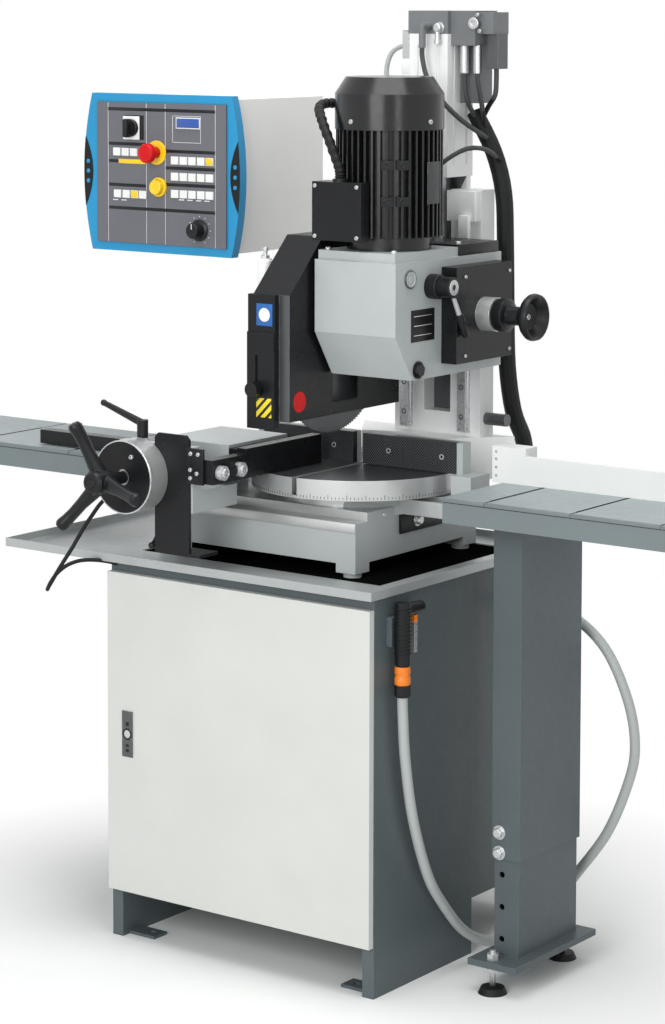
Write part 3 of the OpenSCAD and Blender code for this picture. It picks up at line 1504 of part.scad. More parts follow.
cabinet();
coolant_unit();
drip_tray();
bed();
left_table();
right_table();
table_legs();
leg_posts();
leveling_feet();
length_rule();
spray_gun();
gun_trigger();
wash_hose();
vise_hose();
door();
door_lock();
turret();
column();
rails();
feed_cylinder();
valve_block();
air_hoses();
gearbox();
bearing_blocks();
motor();
motor_cowl();
terminal_box();
motor_conduit();
feed_box();
feed_rod();
spindle();
blade();
rotor();
guard();
guard_plate();
guard_knob();
speed_lever();
feed_knob();
left_jaw();
left_jaw_plate();
right_jaw();
right_jaw_plate();
vise_carriage();
vise_plate();
vise_cylinder();
guide_bar();
moving_jaw();
clamp_bar();
handwheel();
clamp_lever();
slide_lever();
console_arm();
console_box();
console_frame();
console_panel();
console_keys();
main_switch();
estop_button();
start_button();
console_knob();
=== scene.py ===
import json
import math

import bmesh
import bpy
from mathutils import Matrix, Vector


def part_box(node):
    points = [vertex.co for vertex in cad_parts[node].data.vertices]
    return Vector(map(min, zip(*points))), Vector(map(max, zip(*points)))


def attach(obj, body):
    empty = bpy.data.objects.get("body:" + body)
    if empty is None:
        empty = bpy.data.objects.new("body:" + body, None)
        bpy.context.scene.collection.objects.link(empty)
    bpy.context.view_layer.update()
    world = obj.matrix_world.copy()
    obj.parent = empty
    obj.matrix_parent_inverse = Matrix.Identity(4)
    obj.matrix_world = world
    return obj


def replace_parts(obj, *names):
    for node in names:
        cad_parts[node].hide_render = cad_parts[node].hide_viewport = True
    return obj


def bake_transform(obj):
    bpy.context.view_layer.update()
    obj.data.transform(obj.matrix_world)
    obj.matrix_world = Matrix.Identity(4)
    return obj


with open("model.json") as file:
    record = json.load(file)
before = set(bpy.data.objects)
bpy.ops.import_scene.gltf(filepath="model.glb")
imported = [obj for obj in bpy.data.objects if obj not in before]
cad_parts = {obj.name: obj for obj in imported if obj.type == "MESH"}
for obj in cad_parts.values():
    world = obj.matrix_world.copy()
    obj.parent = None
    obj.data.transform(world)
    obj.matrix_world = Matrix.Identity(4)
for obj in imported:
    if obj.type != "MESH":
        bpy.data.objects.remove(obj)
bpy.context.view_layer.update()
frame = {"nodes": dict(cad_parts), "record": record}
nodes = frame["nodes"]
MM = 0.001

# Camera
CAMERA_PLACE = (3.3514, -4.5624, 1.8605)
CAMERA_TURN = (85.33, -0.12, 36.366)
FOCAL_PIXELS = 2863.8
PHOTO_HEIGHT = 1024
SENSOR = 36
LENS_SHIFT = -0.27
CLIP_END = 60


def add_object(name, data):
    obj = bpy.data.objects.new(name, data)
    bpy.context.scene.collection.objects.link(obj)
    return obj


def add_camera():
    data = bpy.data.cameras.new("camera")
    data.sensor_width = SENSOR
    data.lens = FOCAL_PIXELS / PHOTO_HEIGHT * SENSOR
    data.shift_y = LENS_SHIFT
    data.clip_end = CLIP_END
    camera = add_object("camera", data)
    camera.location = CAMERA_PLACE
    camera.rotation_euler = [math.radians(angle) for angle in CAMERA_TURN]
    bpy.context.scene.camera = camera


# Colours are written as seen on a screen and turned into linear light
def linear(colour):
    parts = [int(colour[k:k + 2], 16) / 255 for k in (0, 2, 4)]
    return [c / 12.92 if c < 0.04045 else ((c + 0.055) / 1.055) ** 2.4 for c in parts] + [1.0]


def scaled(colour, share):
    return [min(1.0, c * share) for c in linear(colour)[:3]] + [1.0]


# Sockets of the mixing node that belong to its colour form
MIX_FACTOR, MIX_FIRST, MIX_SECOND, MIX_RESULT = 0, 6, 7, 2


class Tree:
    """The node tree of a material or a world, with short calls to add nodes and to link sockets."""

    def __init__(self, owner):
        owner.use_nodes = True
        self.owner = owner
        self.nodes = owner.node_tree.nodes
        self.links = owner.node_tree.links
        self.shader = self.nodes.get("Principled BSDF") or self.nodes.get("Background")

    def add(self, kind, links=None, settings=None, **values):
        node = self.nodes.new("ShaderNode" + kind)
        for key, value in (settings or {}).items():
            setattr(node, key, value)
        for key, value in values.items():
            node.inputs[key.replace("_", " ")].default_value = value
        for key, socket in (links or {}).items():
            self.links.new(socket, node.inputs[key])
        return node

    def noise(self, place, scale, detail=4.0, rough=0.55):
        node = self.add("TexNoise", {"Vector": place}, Scale=scale, Detail=detail, Roughness=rough)
        return node.outputs["Fac"]

    def bands(self, place, scale, turn):
        """Straight diagonal bands, 0 to 1; turn mirrors them along the axes that it holds as -1."""
        turned = self.add("Mapping", {"Vector": place}, Scale=turn).outputs["Vector"]
        node = self.add("TexWave", {"Vector": turned}, {"bands_direction": "DIAGONAL"}, Scale=scale)
        return node.outputs["Fac"]

    def ramp(self, factor, *colours):
        """A noise's values as a run from the first colour to the second."""
        node = self.add("ValToRGB", {"Fac": factor})
        for element, at, colour in zip(node.color_ramp.elements, CLOUD_SPAN, colours):
            element.position = at
            element.color = colour
        return node.outputs["Color"]

    def between(self, factor, low, high, from_low=0.3, from_high=0.7):
        node = self.add("MapRange", {"Value": factor}, From_Min=from_low, From_Max=from_high,
                        To_Min=low, To_Max=high)
        return node.outputs["Result"]

    def maths(self, operation, first, second):
        return self.add("Math", {0: first, 1: second}, {"operation": operation}).outputs["Value"]

    def mix(self, factor, first, second):
        node = self.add("Mix", {MIX_FACTOR: factor, MIX_FIRST: first}, {"data_type": "RGBA"})
        node.inputs[MIX_SECOND].default_value = second
        return node.outputs[MIX_RESULT]

    def seen(self):
        """1 on rays that show something to the camera: straight, mirrored or through glass."""
        rays = self.add("LightPath").outputs
        seen = self.maths("MAXIMUM", rays["Is Camera Ray"], rays["Is Glossy Ray"])
        return self.maths("MAXIMUM", seen, rays["Is Transmission Ray"])


# Finishes: noise scales, the spans of values over which an effect grows, and sizes in metres
CLOUD_SCALE = 7
CLOUD_SPAN = (0.3, 0.7)
PATCH_SCALE = 60
RUBBED_AND_HIGHLIT_SPAN = (0.42, 0.62)
GRAIN_SPAN = (0.35, 0.75)
GRAIN_SHARE = 0.35
# The rounded edge's radius, and the span of its turn over which edges take the wear colour, which is partly
# real wear and partly a painted highlight
ROUNDED_EDGE_RADIUS = 0.0015
WORN_AND_HIGHLIT_SPAN = (0.75, 0.97)
RELIEF_DEPTH = 0.0006
SMOOTHER, ROUGHER = 0.06, 0.08
HAZARD_SCALE = 33
HAZARD_SPAN = (0.6, 0.62)
CROSSED_SPAN = (0.85, 1.0)
RISING, FALLING = (1, 1, 1), (1, 1, -1)


def finish(name, colour, rough, metal=0.0, shade=0.07, grain=500, bump=0.08, wear_and_highlight="c8cacb", worn_and_highlit=0.5,
           coat=0.0, specular=0.5, stretch=(1, 1, 1), pattern=None):
    """A painted, moulded or machined surface: cloudy colour, fine grain, edges lightened as partly wear and
    partly painted highlight, and uneven gloss.

    A pattern gets the tree, the place and the colour, and gives back a colour and a height.
    """
    tree = Tree(bpy.data.materials.new(name))
    place = tree.add("TexCoord").outputs["Object"]
    drawn = tree.add("Mapping", {"Vector": place}, Scale=stretch).outputs["Vector"]
    broad = tree.noise(place, CLOUD_SCALE)
    fine = tree.noise(drawn, grain, 3)
    patch = tree.noise(place, PATCH_SCALE, 6, 0.7)
    round_edge = tree.add("Bevel", settings={"samples": 4}, Radius=ROUNDED_EDGE_RADIUS).outputs["Normal"]
    sharp = tree.add("NewGeometry").outputs["Normal"]
    turned = tree.add("VectorMath", {0: round_edge, 1: sharp}, {"operation": "DOT_PRODUCT"}).outputs["Value"]
    # Rounded edges, in patches, are mixed towards the wear colour: partly real wear and partly a painted
    # highlight on the edges
    edge = tree.between(turned, worn_and_highlit, 0.0, *WORN_AND_HIGHLIT_SPAN)
    rubbed_and_highlit = tree.maths("MULTIPLY", edge, tree.between(patch, 0.0, 1.0, *RUBBED_AND_HIGHLIT_SPAN))
    base = tree.ramp(broad, scaled(colour, 1 - shade), scaled(colour, 1 + shade))
    skin = tree.mix(tree.between(fine, 0.0, GRAIN_SHARE, *GRAIN_SPAN), base, scaled(colour, 1 + 2 * shade))
    height = fine
    if pattern:
        skin, height = pattern(tree, place, skin)
    tree.links.new(tree.mix(rubbed_and_highlit, skin, linear(wear_and_highlight)), tree.shader.inputs["Base Color"])
    gloss = tree.between(patch, rough - SMOOTHER, rough + ROUGHER)
    tree.links.new(gloss, tree.shader.inputs["Roughness"])
    relief = tree.add("Bump", {"Height": height, "Normal": round_edge}, Strength=bump, Distance=RELIEF_DEPTH)
    tree.links.new(relief.outputs["Normal"], tree.shader.inputs["Normal"])
    for socket, value in (("Metallic", metal), ("Coat Weight", coat), ("Specular IOR Level", specular)):
        tree.shader.inputs[socket].default_value = value
    return tree.owner


def hazard_bars(tree, place, skin):
    """A pattern of slanting black bars."""
    bars = tree.between(tree.bands(place, HAZARD_SCALE, FALLING), 0.0, 1.0, *HAZARD_SPAN)
    return tree.mix(bars, skin, linear("17181a")), bars


def crossed(scale, colour, share):
    """A pattern of two sets of crossing lines, as on a knurled face or a braided hose."""
    def pattern(tree, place, skin):
        lines = tree.maths("MAXIMUM", tree.bands(place, scale, FALLING), tree.bands(place, scale, RISING))
        return tree.mix(tree.between(lines, 0.0, share, *CROSSED_SPAN), skin, linear(colour)), lines
    return pattern


# The look of each slot: colour, roughness and what else its finish has; the wear colour on its edges is
# partly real wear and partly a painted highlight
SLOT_LOOKS = {
    "cabinet_paint": ("4f595c", 0.5, dict(bump=0.2, grain=900)),
    "door_paint": ("cbcdc9", 0.45, dict(shade=0.03, bump=0.2, grain=900, wear_and_highlight="f2f3f2")),
    "tray_sheet": ("aeb2b2", 0.38, dict(metal=0.45, shade=0.06, grain=120, stretch=(0.3, 3, 3))),
    "body_paint": ("aeb4b4", 0.42, dict(shade=0.05, bump=0.15, wear_and_highlight="dcdedd")),
    "table_paint": ("6e787a", 0.45, dict(shade=0.05, bump=0.15, wear_and_highlight="c9cccc")),
    "black_paint": ("151618", 0.3, dict(shade=0.2, bump=0.25, grain=1100, wear_and_highlight="5d6063", specular=0.25)),
    "machined": ("c2c4c4", 0.34, dict(metal=0.6, shade=0.08, grain=160, bump=0.04, stretch=(1, 6, 6))),
    "steel": ("c4c6c7", 0.28, dict(metal=0.6, shade=0.06, grain=240, bump=0.03, stretch=(1, 1, 5))),
    "bright_alu": ("f4f5f5", 0.36, dict(metal=0.1, shade=0.03, grain=160, stretch=(5, 5, 0.4))),
    "blade_steel": ("6a6d6f", 0.42, dict(metal=0.6, shade=0.12, grain=300)),
    "black_plastic": ("141517", 0.34, dict(shade=0.2, bump=0.12, grain=900, wear_and_highlight="4a4d50", specular=0.3)),
    "black_rubber": ("151617", 0.55, dict(shade=0.2, bump=0.2, grain=700, wear_and_highlight="3a3c3e", specular=0.25)),
    "grey_hose": ("b4b9b8", 0.42, dict(shade=0.06, bump=0.5, wear_and_highlight="c4c8c7", worn_and_highlit=0.2,
                                       pattern=crossed(100, "8b9090", 0.6))),
    "console_blue": ("1a8cbe", 0.34, dict(shade=0.05, grain=900, wear_and_highlight="7cc4e2", worn_and_highlit=0.35)),
    "console_grey": ("f2f2ef", 0.5, dict(shade=0.03, bump=0.35, grain=700, wear_and_highlight="fafafa")),
    "panel_grey": ("63646b", 0.5, dict(shade=0.05, grain=1200, wear_and_highlight="8d8e93", worn_and_highlit=0.2)),
    "key_white": ("e6e8e6", 0.42, dict(shade=0.03, wear_and_highlight="ffffff", worn_and_highlit=0.2)),
    "red_plastic": ("c80d10", 0.4, dict(bump=0.05, wear_and_highlight="d8453e", worn_and_highlit=0.3, specular=0.25)),
    "yellow_plastic": ("f0c81e", 0.34, dict(bump=0.05, wear_and_highlight="f8e27a", worn_and_highlit=0.3, coat=0.2)),
    "orange_plastic": ("ef7f1a", 0.4, dict(wear_and_highlight="f6b06c", worn_and_highlit=0.3)),
}
MATERIALS = {slot: finish(slot, colour, rough, **more)
             for slot, (colour, rough, more) in SLOT_LOOKS.items()}

# Finishes that no slot of the record has, on some faces and small pieces
DARK_STEEL = finish("dark_steel", "5c5f61", 0.36, 0.7, shade=0.1, grain=300)
SCREEN = finish("screen", "174a9c", 0.2, shade=0.1, bump=0.02, wear_and_highlight="2f6fc4", worn_and_highlit=0.2, coat=0.5)
PATCH_BLUE = finish("patch_blue", "1d5fa8", 0.35, shade=0.05, bump=0.05, wear_and_highlight="6b9ccf", worn_and_highlit=0.3)
HAZARD = finish("hazard", "ecd21f", 0.4, shade=0.04, bump=0.05, wear_and_highlight="f6e98a", worn_and_highlit=0.3, pattern=hazard_bars)
JAW_FACE = finish("jaw_face", "131415", 0.5, shade=0.1, bump=0.5, wear_and_highlight="909396", specular=0.2,
                  pattern=crossed(105, "85888b", 0.45))
GLOSS_BLACK = finish("gloss_black", "131416", 0.2, shade=0.2, bump=0.05, grain=900, wear_and_highlight="5d6063",
                     specular=0.42)
# A lighter copy of the table paint for the tops: painted light on the upward faces
TABLE_TOP_PAINTED_LIGHT = finish("table_top_painted_light", "8d9799", 0.42, shade=0.05, bump=0.15, wear_and_highlight="c9cccc")
VALVE_GREY = finish("valve_grey", "6f7274", 0.5, shade=0.12, bump=0.3, grain=700, wear_and_highlight="a4a7a9")
BRAID = finish("braid", "2a2b2d", 0.45, shade=0.1, bump=0.5, wear_and_highlight="6c6f72", specular=0.3,
               pattern=crossed(150, "85888b", 0.7))
NAMEPLATE = finish("nameplate", "3a3c3e", 0.45, 0.2, shade=0.1, grain=700)
# A dead black sheet with no gloss: painted shade for the well inside the tray
PAINTED_SHADE_BLACK = finish("well_painted_shade", "0b0b0c", 0.9, shade=0.2, wear_and_highlight="161718", worn_and_highlit=0.2, specular=0.0)


def dress_nodes():
    for part in frame["record"]["subparts"]:
        mesh = nodes[part["node"]].data
        mesh.materials.clear()
        mesh.materials.append(MATERIALS[part["material_slot"]])


def paint(node, material, where):
    """A second finish on those faces of a node whose middle, in millimetres, and normal pass the test."""
    mesh = nodes[node].data
    mesh.materials.append(material)
    for face in mesh.polygons:
        if where(face.center / MM, face.normal):
            face.material_index = len(mesh.materials) - 1


# Levels and places, in millimetres, past which a node has its second finish
FOOT_PAD_TOP = 22
WAY_FROM = 860
COLLAR_SHARE = 0.55
LEVER_HUB_FROM = 1299
COIL_FROM, COIL_TOP = 215, 1796
PORT_Y, PORT_HALF, PORT_TOP = 194, 10, 1773
BRAID_BEFORE = 212
PALE_HOSE_BEFORE = 60
GUARD_EDGE_FROM, GUARD_EDGE_BEFORE = 58, -257
STOP_ROD_FROM, STOP_ROD_FOOT, STOP_ROD_TOP = 215, 1000, 1060
SLOT_BACK_FROM, SLOT_HALF = 225, 33

# A face looks along an axis if its normal has more than FLAT of it, and across it with less than ACROSS
FLAT, ACROSS = 0.9, 0.1


def everywhere(at, out):
    return True


def on_top(at, out):
    return out.z > FLAT


def in_front(at, out):
    return out.y < -FLAT


def second_finishes():
    """Machined ways, rims and studs, and dark hubs, on nodes that aren't of one finish all over."""
    steel, machined = MATERIALS["steel"], MATERIALS["machined"]
    for node, material in (("motor", GLOSS_BLACK), ("motor_cowl", GLOSS_BLACK), ("valve_block", VALVE_GREY),
                           ("length_rule", MATERIALS["key_white"]), ("vise_cylinder", machined),
                           ("gun_trigger", steel)):
        paint(node, material, everywhere)
    for side in ("left", "right"):
        # The tables' upward faces take the lighter copy of their paint: painted light
        paint(side + "_table", TABLE_TOP_PAINTED_LIGHT, on_top)
        paint(side + "_jaw_plate", JAW_FACE, lambda at, out: abs(out.y) > FLAT)
    paint("leveling_feet", steel, lambda at, out: at.z > FOOT_PAD_TOP)
    paint("bed", machined, lambda at, out: at.z > WAY_FROM and (on_top(at, out) or in_front(at, out)))
    paint("turret", DARK_STEEL, on_top)
    paint("turret", machined, lambda at, out: abs(out.z) < ACROSS)
    low, high = box_of("feed_box")
    collar = low.x + (high.x - low.x) * COLLAR_SHARE
    paint("feed_box", machined, lambda at, out: at.x > collar)
    paint("speed_lever", MATERIALS["black_plastic"], lambda at, out: at.z > LEVER_HUB_FROM)
    paint("valve_block", steel, lambda at, out: abs(at.y - PORT_Y) < PORT_HALF and at.z < PORT_TOP)
    paint("valve_block", DARK_STEEL, lambda at, out: at.x > COIL_FROM and at.z < COIL_TOP)
    paint("air_hoses", BRAID, lambda at, out: at.y < BRAID_BEFORE)
    paint("air_hoses", MATERIALS["grey_hose"], lambda at, out: at.x < PALE_HOSE_BEFORE)
    paint("guard", DARK_STEEL, lambda at, out: (
        in_front(at, out) and at.x > GUARD_EDGE_FROM and at.y < GUARD_EDGE_BEFORE))
    paint("column", DARK_STEEL, lambda at, out: at.x > STOP_ROD_FROM and STOP_ROD_FOOT < at.z < STOP_ROD_TOP)
    slot = middle_of("rails").x
    paint("column", DARK_STEEL, lambda at, out: (
        in_front(at, out) and at.y > SLOT_BACK_FROM and abs(at.x - slot) < SLOT_HALF))


# Cords: the routes of the hoses, in millimetres along their middle lines
WASH_ROUTE = [
    (298, 190, 670), (322, 190, 670), (344, 190, 670), (390, 184, 668), (471, 168, 654), (539, 162, 603),
    (586, 162, 513), (602, 162, 431), (590, 162, 359), (541, 162, 245), (459, 162, 133), (424, 152, 66),
    (392, 110, 24), (368, 40, 26), (352, -47, 66), (348, -125, 144), (346, -173, 213), (345, -219, 328),
    (345, -245, 446), (345, -254, 540), (345, -255, 579)]
VISE_ROUTE = [
    (-257.4, -392, 903.4), (-275, -396, 886), (-287, -405, 865), (-297, -415, 844), (-306, -425, 822),
    (-315, -434, 800), (-325, -444, 778), (-335, -452, 757), (-349, -454, 735), (-366, -447, 718),
    (-383, -429, 711), (-395, -408, 718), (-396, -388, 733), (-385, -371, 748), (-367, -355, 757),
    (-347, -340, 759), (-326, -325, 757), (-306, -310, 752)]
WASH_DIAMETER = 20 * MM
WASH_SIDES = 16
VISE_DIAMETER = 8 * MM
VISE_SIDES = 12
CORD_STEPS = 8
# A direction that no cord sets out along
START_SIDE = Vector((0.3, 0.1, 0.9))


def smooth(route, steps):
    """Points on one smooth curve through the route, in metres."""
    points = [Vector(p) * MM for p in route]
    padded = [points[0] * 2 - points[1]] + points + [points[-1] * 2 - points[-2]]
    line = []
    for k in range(1, len(padded) - 2):
        a, b, c, d = padded[k - 1:k + 3]
        for i in range(steps):
            t = i / steps
            line.append(0.5 * (2 * b + (c - a) * t + (2 * a - 5 * b + 4 * c - d) * t * t
                               + (3 * b - a - 3 * c + d) * t ** 3))
    return line + [points[-1]]


def tube(name, line, diameter, sides):
    """A closed mesh tube along the line."""
    mesh = bpy.data.meshes.new(name)
    bm = bmesh.new()
    rings = []
    side = START_SIDE
    for k, point in enumerate(line):
        ahead = (line[min(k + 1, len(line) - 1)] - line[max(k - 1, 0)]).normalized()
        side = (side - ahead * side.dot(ahead)).normalized()
        across = ahead.cross(side)
        rings.append([bm.verts.new(point + (side * math.cos(a) + across * math.sin(a)) * diameter / 2)
                      for a in (2 * math.pi * i / sides for i in range(sides))])
    for near, far in zip(rings, rings[1:]):
        for i in range(sides):
            bm.faces.new((near[i], near[(i + 1) % sides], far[(i + 1) % sides], far[i]))
    bm.faces.new(rings[0][::-1])
    bm.faces.new(rings[-1])
    for face in bm.faces:
        face.smooth = True
    bm.to_mesh(mesh)
    bm.free()
    return add_object(name, mesh)


def add_cords():
    line = smooth(WASH_ROUTE, CORD_STEPS)
    hose = tube("wash_hose_tube", line, WASH_DIAMETER, WASH_SIDES)
    hose.data.materials.append(MATERIALS["grey_hose"])
    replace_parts(hose, "wash_hose")
    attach(hose, "base")
    line = smooth(VISE_ROUTE, CORD_STEPS)
    hose = tube("vise_hose_tube", line, VISE_DIAMETER, VISE_SIDES)
    hose.data.materials.append(MATERIALS["black_rubber"])
    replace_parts(hose, "vise_hose")
    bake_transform(hose)


# Small pieces: sizes and places from here on are in millimetres in the machine's frame
RIGHT, FRONT, UP = Vector((1, 0, 0)), Vector((0, -1, 0)), Vector((0, 0, 1))
BACK = -FRONT
# How far a thin mark stands out of its face and reaches into it
SKIN = 0.4
EDGE, THIN_EDGE, SOFT_EDGE, ROUND_EDGE = 0.12, 0.3, 0.6, 1
SHARP_ANGLE = math.radians(35)


def box_of(node):
    low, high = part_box(node)
    return low / MM, high / MM


def middle_of(node):
    low, high = box_of(node)
    return (low + high) / 2


def around(centre, corners):
    """The two corners of a box that are given from a centre."""
    return [Vector(centre) + Vector(corner) for corner in corners]


class Shape:
    """Solids gathered in one mesh, which becomes one piece."""

    def __init__(self):
        self.bm = bmesh.new()

    def block(self, low, high, bevel=EDGE):
        low, high = Vector(low), Vector(high)
        verts = bmesh.ops.create_cube(self.bm, size=1.0)["verts"]
        for vert in verts:
            vert.co = Vector(((low[k] + high[k]) / 2 + vert.co[k] * (high[k] - low[k]) for k in range(3)))
        edges = list(dict.fromkeys(edge for vert in verts for edge in vert.link_edges))
        bmesh.ops.bevel(self.bm, geom=edges, offset=bevel, segments=2, profile=0.5, affect="EDGES")
        return self

    def turned(self, centre, axis, profile, sides=28, hexed=(), closed=False):
        """A turned solid: profile is (radius, distance along the axis); rings in hexed are six-sided."""
        way = Vector(axis).normalized()
        side = way.orthogonal().normalized()
        across = way.cross(side)
        rings = []
        for k, (radius, along) in enumerate(profile):
            middle = Vector(centre) + way * along
            ring = []
            for i in range(sides if radius else 1):
                a = 2 * math.pi * i / sides
                reach = radius
                if k in hexed:
                    reach = radius / math.cos((a + math.pi / 6) % (math.pi / 3) - math.pi / 6)
                ring.append(self.bm.verts.new(middle + (side * math.cos(a) + across * math.sin(a)) * reach))
            rings.append(ring)
        pairs = list(zip(rings, rings[1:] + rings[:1])) if closed else list(zip(rings, rings[1:]))
        for near, far in pairs:
            for i in range(sides):
                corners = [near[i % len(near)], near[(i + 1) % len(near)],
                           far[(i + 1) % len(far)], far[i % len(far)]]
                corners = list(dict.fromkeys(corners))
                if len(corners) > 2:
                    self.bm.faces.new(corners)
        return self

    def ring(self, centre, axis, inner, outer, thick, round_edge=0.5):
        """A flat ring, with its outer front edge rounded."""
        return self.turned(centre, axis, [(inner, 0), (outer, 0), (outer, thick - round_edge),
                                          (outer - round_edge, thick), (inner, thick)], closed=True)

    def screw(self, centre, axis, size):
        """A socket-head screw of that head diameter, seated at centre."""
        high, key, side = size * 0.5, size * 0.26, size * 0.5
        profile = [(0, high * 0.4), (key, high * 0.4), (key, high), (size * 0.42, high),
                   (side, high * 0.8), (side, 0), (0, 0)]
        return self.turned(centre, axis, profile, sides=24, hexed=(1, 2))

    def bolt(self, centre, axis, size):
        """A hexagon bolt on a washer, seated at centre."""
        seat, high, flat, washer = size * 0.12, size * 0.6, size * 0.46, size * 0.72
        profile = [(0, high), (size * 0.4, high), (flat, high * 0.85), (flat, seat), (washer, seat),
                   (washer, 0), (0, 0)]
        return self.turned(centre, axis, profile, sides=24, hexed=(2, 3))

    def prism(self, outline, origin, across, up, depth):
        """An outline of (across, up) points, extruded by depth towards across x up."""
        out = Vector(across).cross(Vector(up))
        flat = [Vector(origin) + Vector(across) * u + Vector(up) * v for u, v in outline]
        near = [self.bm.verts.new(p) for p in flat]
        far = [self.bm.verts.new(p + out * depth) for p in flat]
        self.bm.faces.new(near[::-1])
        self.bm.faces.new(far)
        for k in range(len(flat)):
            j = (k + 1) % len(flat)
            self.bm.faces.new((near[k], near[j], far[j], far[k]))
        return self

    def add(self, name, slot, body, material=None):
        """Ends the piece: it takes its finish from the slot and rides on the body."""
        bmesh.ops.recalc_face_normals(self.bm, faces=self.bm.faces)
        bmesh.ops.scale(self.bm, vec=(MM, MM, MM), verts=self.bm.verts)
        mesh = bpy.data.meshes.new(name)
        self.bm.to_mesh(mesh)
        self.bm.free()
        mesh.shade_smooth()
        mesh.set_sharp_from_angle(angle=SHARP_ANGLE)
        obj = add_object(name, mesh)
        mesh.materials.append(material or MATERIALS[slot])
        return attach(obj, body)


# Console: places on the panel are shares of its width and height
LINE_SHARES = (0.090, 0.391, 0.538, 0.920)
LINE_WIDTH = 1.0
BAR_SHARES = [
    (0.090, 0.920, 0.951), (0.095, 0.390, 0.705), (0.095, 0.390, 0.581), (0.095, 0.390, 0.412),
    (0.095, 0.920, 0.248), (0.542, 0.920, 0.665), (0.542, 0.920, 0.547), (0.542, 0.920, 0.430)]
BAR_HEIGHT = 6.5
YELLOW_BAR_SHARES = (0.174, 0.384, 0.581)
YELLOW_BAR_HALF = BAR_HEIGHT * 0.7
DASH_SHARES = [
    (0.147, 0.3045), (0.214, 0.3045), (0.662, 0.327), (0.727, 0.327), (0.794, 0.327), (0.857, 0.327)]
DASH_HALF = (7, 1.1)
FIELD_SHARES = ((0.5945, 0.729), (0.809, 0.9135))
SCREEN_SHARES = (0.626, 0.826)
SCREEN_SIZE = (62.7, 22.8)
SCREEN_RIM = 2
YELLOW_KEY_SHARES = [(0.302, 0.349), (0.880, 0.602)]
KEY_HALF = (8.5, 7)
KNOB_DOT_CIRCLE = 28
KNOB_DOT_ANGLES = range(-150, 151, 30)

# Boxes, profiles and rings of switch, buttons and knob start at the panel's face, on each one's own axis.
# A profile is (radius, distance along the axis); a ring is inner and outer radius, thickness, rounding
SWITCH_BASE = ((-24, -1.5, -24), (30, SKIN, 26))
SWITCH_PLATE = ((-24, -3, -24), (20, -1, 24))
SWITCH_HUB = [(0, 3.4), (18, 3.4), (18, 8.4), (16.5, 10.4), (0, 10.4)]
SWITCH_BAR = ((-6, -27, -19), (6, -9, 19))
SWITCH_BAR_EDGE = 3
STOP_COLLAR = (11, 25, 2.6)
STOP_HEAD = [
    (0, 39.6), (9, 39.6), (12, 38.4), (15, 39.4), (18, 38.4), (20, 35), (20, 26), (16, 20), (10, 19),
    (10, 0.5), (0, 0.5)]
START_BEZEL = (15.6, 20, 6, 1.2)
START_HEAD = [(0, 15), (10, 15.6), (13, 16.5), (15, 15), (15, 4.6), (7.4, 4.6), (7.4, -3), (0, -3)]
KNOB_SKIRT = [(0, 0.4), (22, 0.4), (22, 3.4), (17, 6.4), (0, 6.4)]
KNOB_HEAD = [(0, 5), (17, 5), (16, 24), (14.5, 26.4), (0, 26.4)]
KNOB_POINTER = ((-0.9, -27, 3), (0.9, -26, 14))
GRIP_REACH = 72
GRIP_WIDTH = 24
GRIP_RISE = 1.2
GRIP_STEPS = 14
GRIP_DOT_GAP = 20.5
GRIP_DOT = [(0, 1), (3.5, 1), (4.5, 0.3), (4.5, -0.6), (0, -0.6)]
FRAME_BULGE = 22


def console_marks():
    low, high = box_of("console_panel")
    key_front = box_of("console_keys")[0].y

    def place(shares):
        return low.x + (high.x - low.x) * shares[0], low.z + (high.z - low.z) * shares[1]

    def mark(shape, left, bottom, right, top, front=low.y):
        return shape.block((left, front - SKIN, bottom), (right, front + SKIN, top))

    def spot(shape, x, z, half_wide, half_high, front=low.y):
        mark(shape, x - half_wide, z - half_high, x + half_wide, z + half_high, front)

    lines = Shape()
    for share in LINE_SHARES:
        x, z = place((share, 0))
        mark(lines, x - LINE_WIDTH / 2, z + LINE_WIDTH, x + LINE_WIDTH / 2, high.z - LINE_WIDTH)
    (x0, z0), (x1, z1) = place(FIELD_SHARES[0]), place(FIELD_SHARES[1])
    for z in (z0, z1):
        mark(lines, x0, z - LINE_WIDTH / 2, x1, z + LINE_WIDTH / 2)
    for x in (x0, x1):
        mark(lines, x - LINE_WIDTH / 2, z0, x + LINE_WIDTH / 2, z1)
    for shares in DASH_SHARES:
        spot(lines, *place(shares), *DASH_HALF)
    knob = middle_of("console_knob")
    for angle in KNOB_DOT_ANGLES:
        a = math.radians(angle)
        x, z = knob.x + KNOB_DOT_CIRCLE * math.sin(a), knob.z + KNOB_DOT_CIRCLE * math.cos(a)
        spot(lines, x, z, LINE_WIDTH, LINE_WIDTH)
    lines.add("console_lines", "key_white", "console")

    bars = Shape()
    for left, right, level in BAR_SHARES:
        (x0, z), (x1, _) = place((left, level)), place((right, level))
        mark(bars, x0, z - BAR_HEIGHT / 2, x1, z + BAR_HEIGHT / 2)
    bars.add("console_bars", "black_plastic", "console")

    yellow = Shape()
    left, right, level = YELLOW_BAR_SHARES
    (x0, z), (x1, _) = place((left, level)), place((right, level))
    mark(yellow, x0, z - YELLOW_BAR_HALF, x1, z + YELLOW_BAR_HALF, low.y - SKIN)
    for shares in YELLOW_KEY_SHARES:
        spot(yellow, *place(shares), *KEY_HALF, key_front)
    yellow.add("console_yellow_marks", "yellow_plastic", "console")

    x, z = place(SCREEN_SHARES)
    screen = mark(Shape(), x + SCREEN_RIM, z + SCREEN_RIM, x + SCREEN_SIZE[0] - SCREEN_RIM,
                  z + SCREEN_SIZE[1] - SCREEN_RIM, key_front)
    screen.add("console_screen", "console_blue", "console", SCREEN)


def on_face(node, face):
    """The place on the panel's face where a node's axis comes through."""
    at = middle_of(node)
    return Vector((at.x, face, at.z))


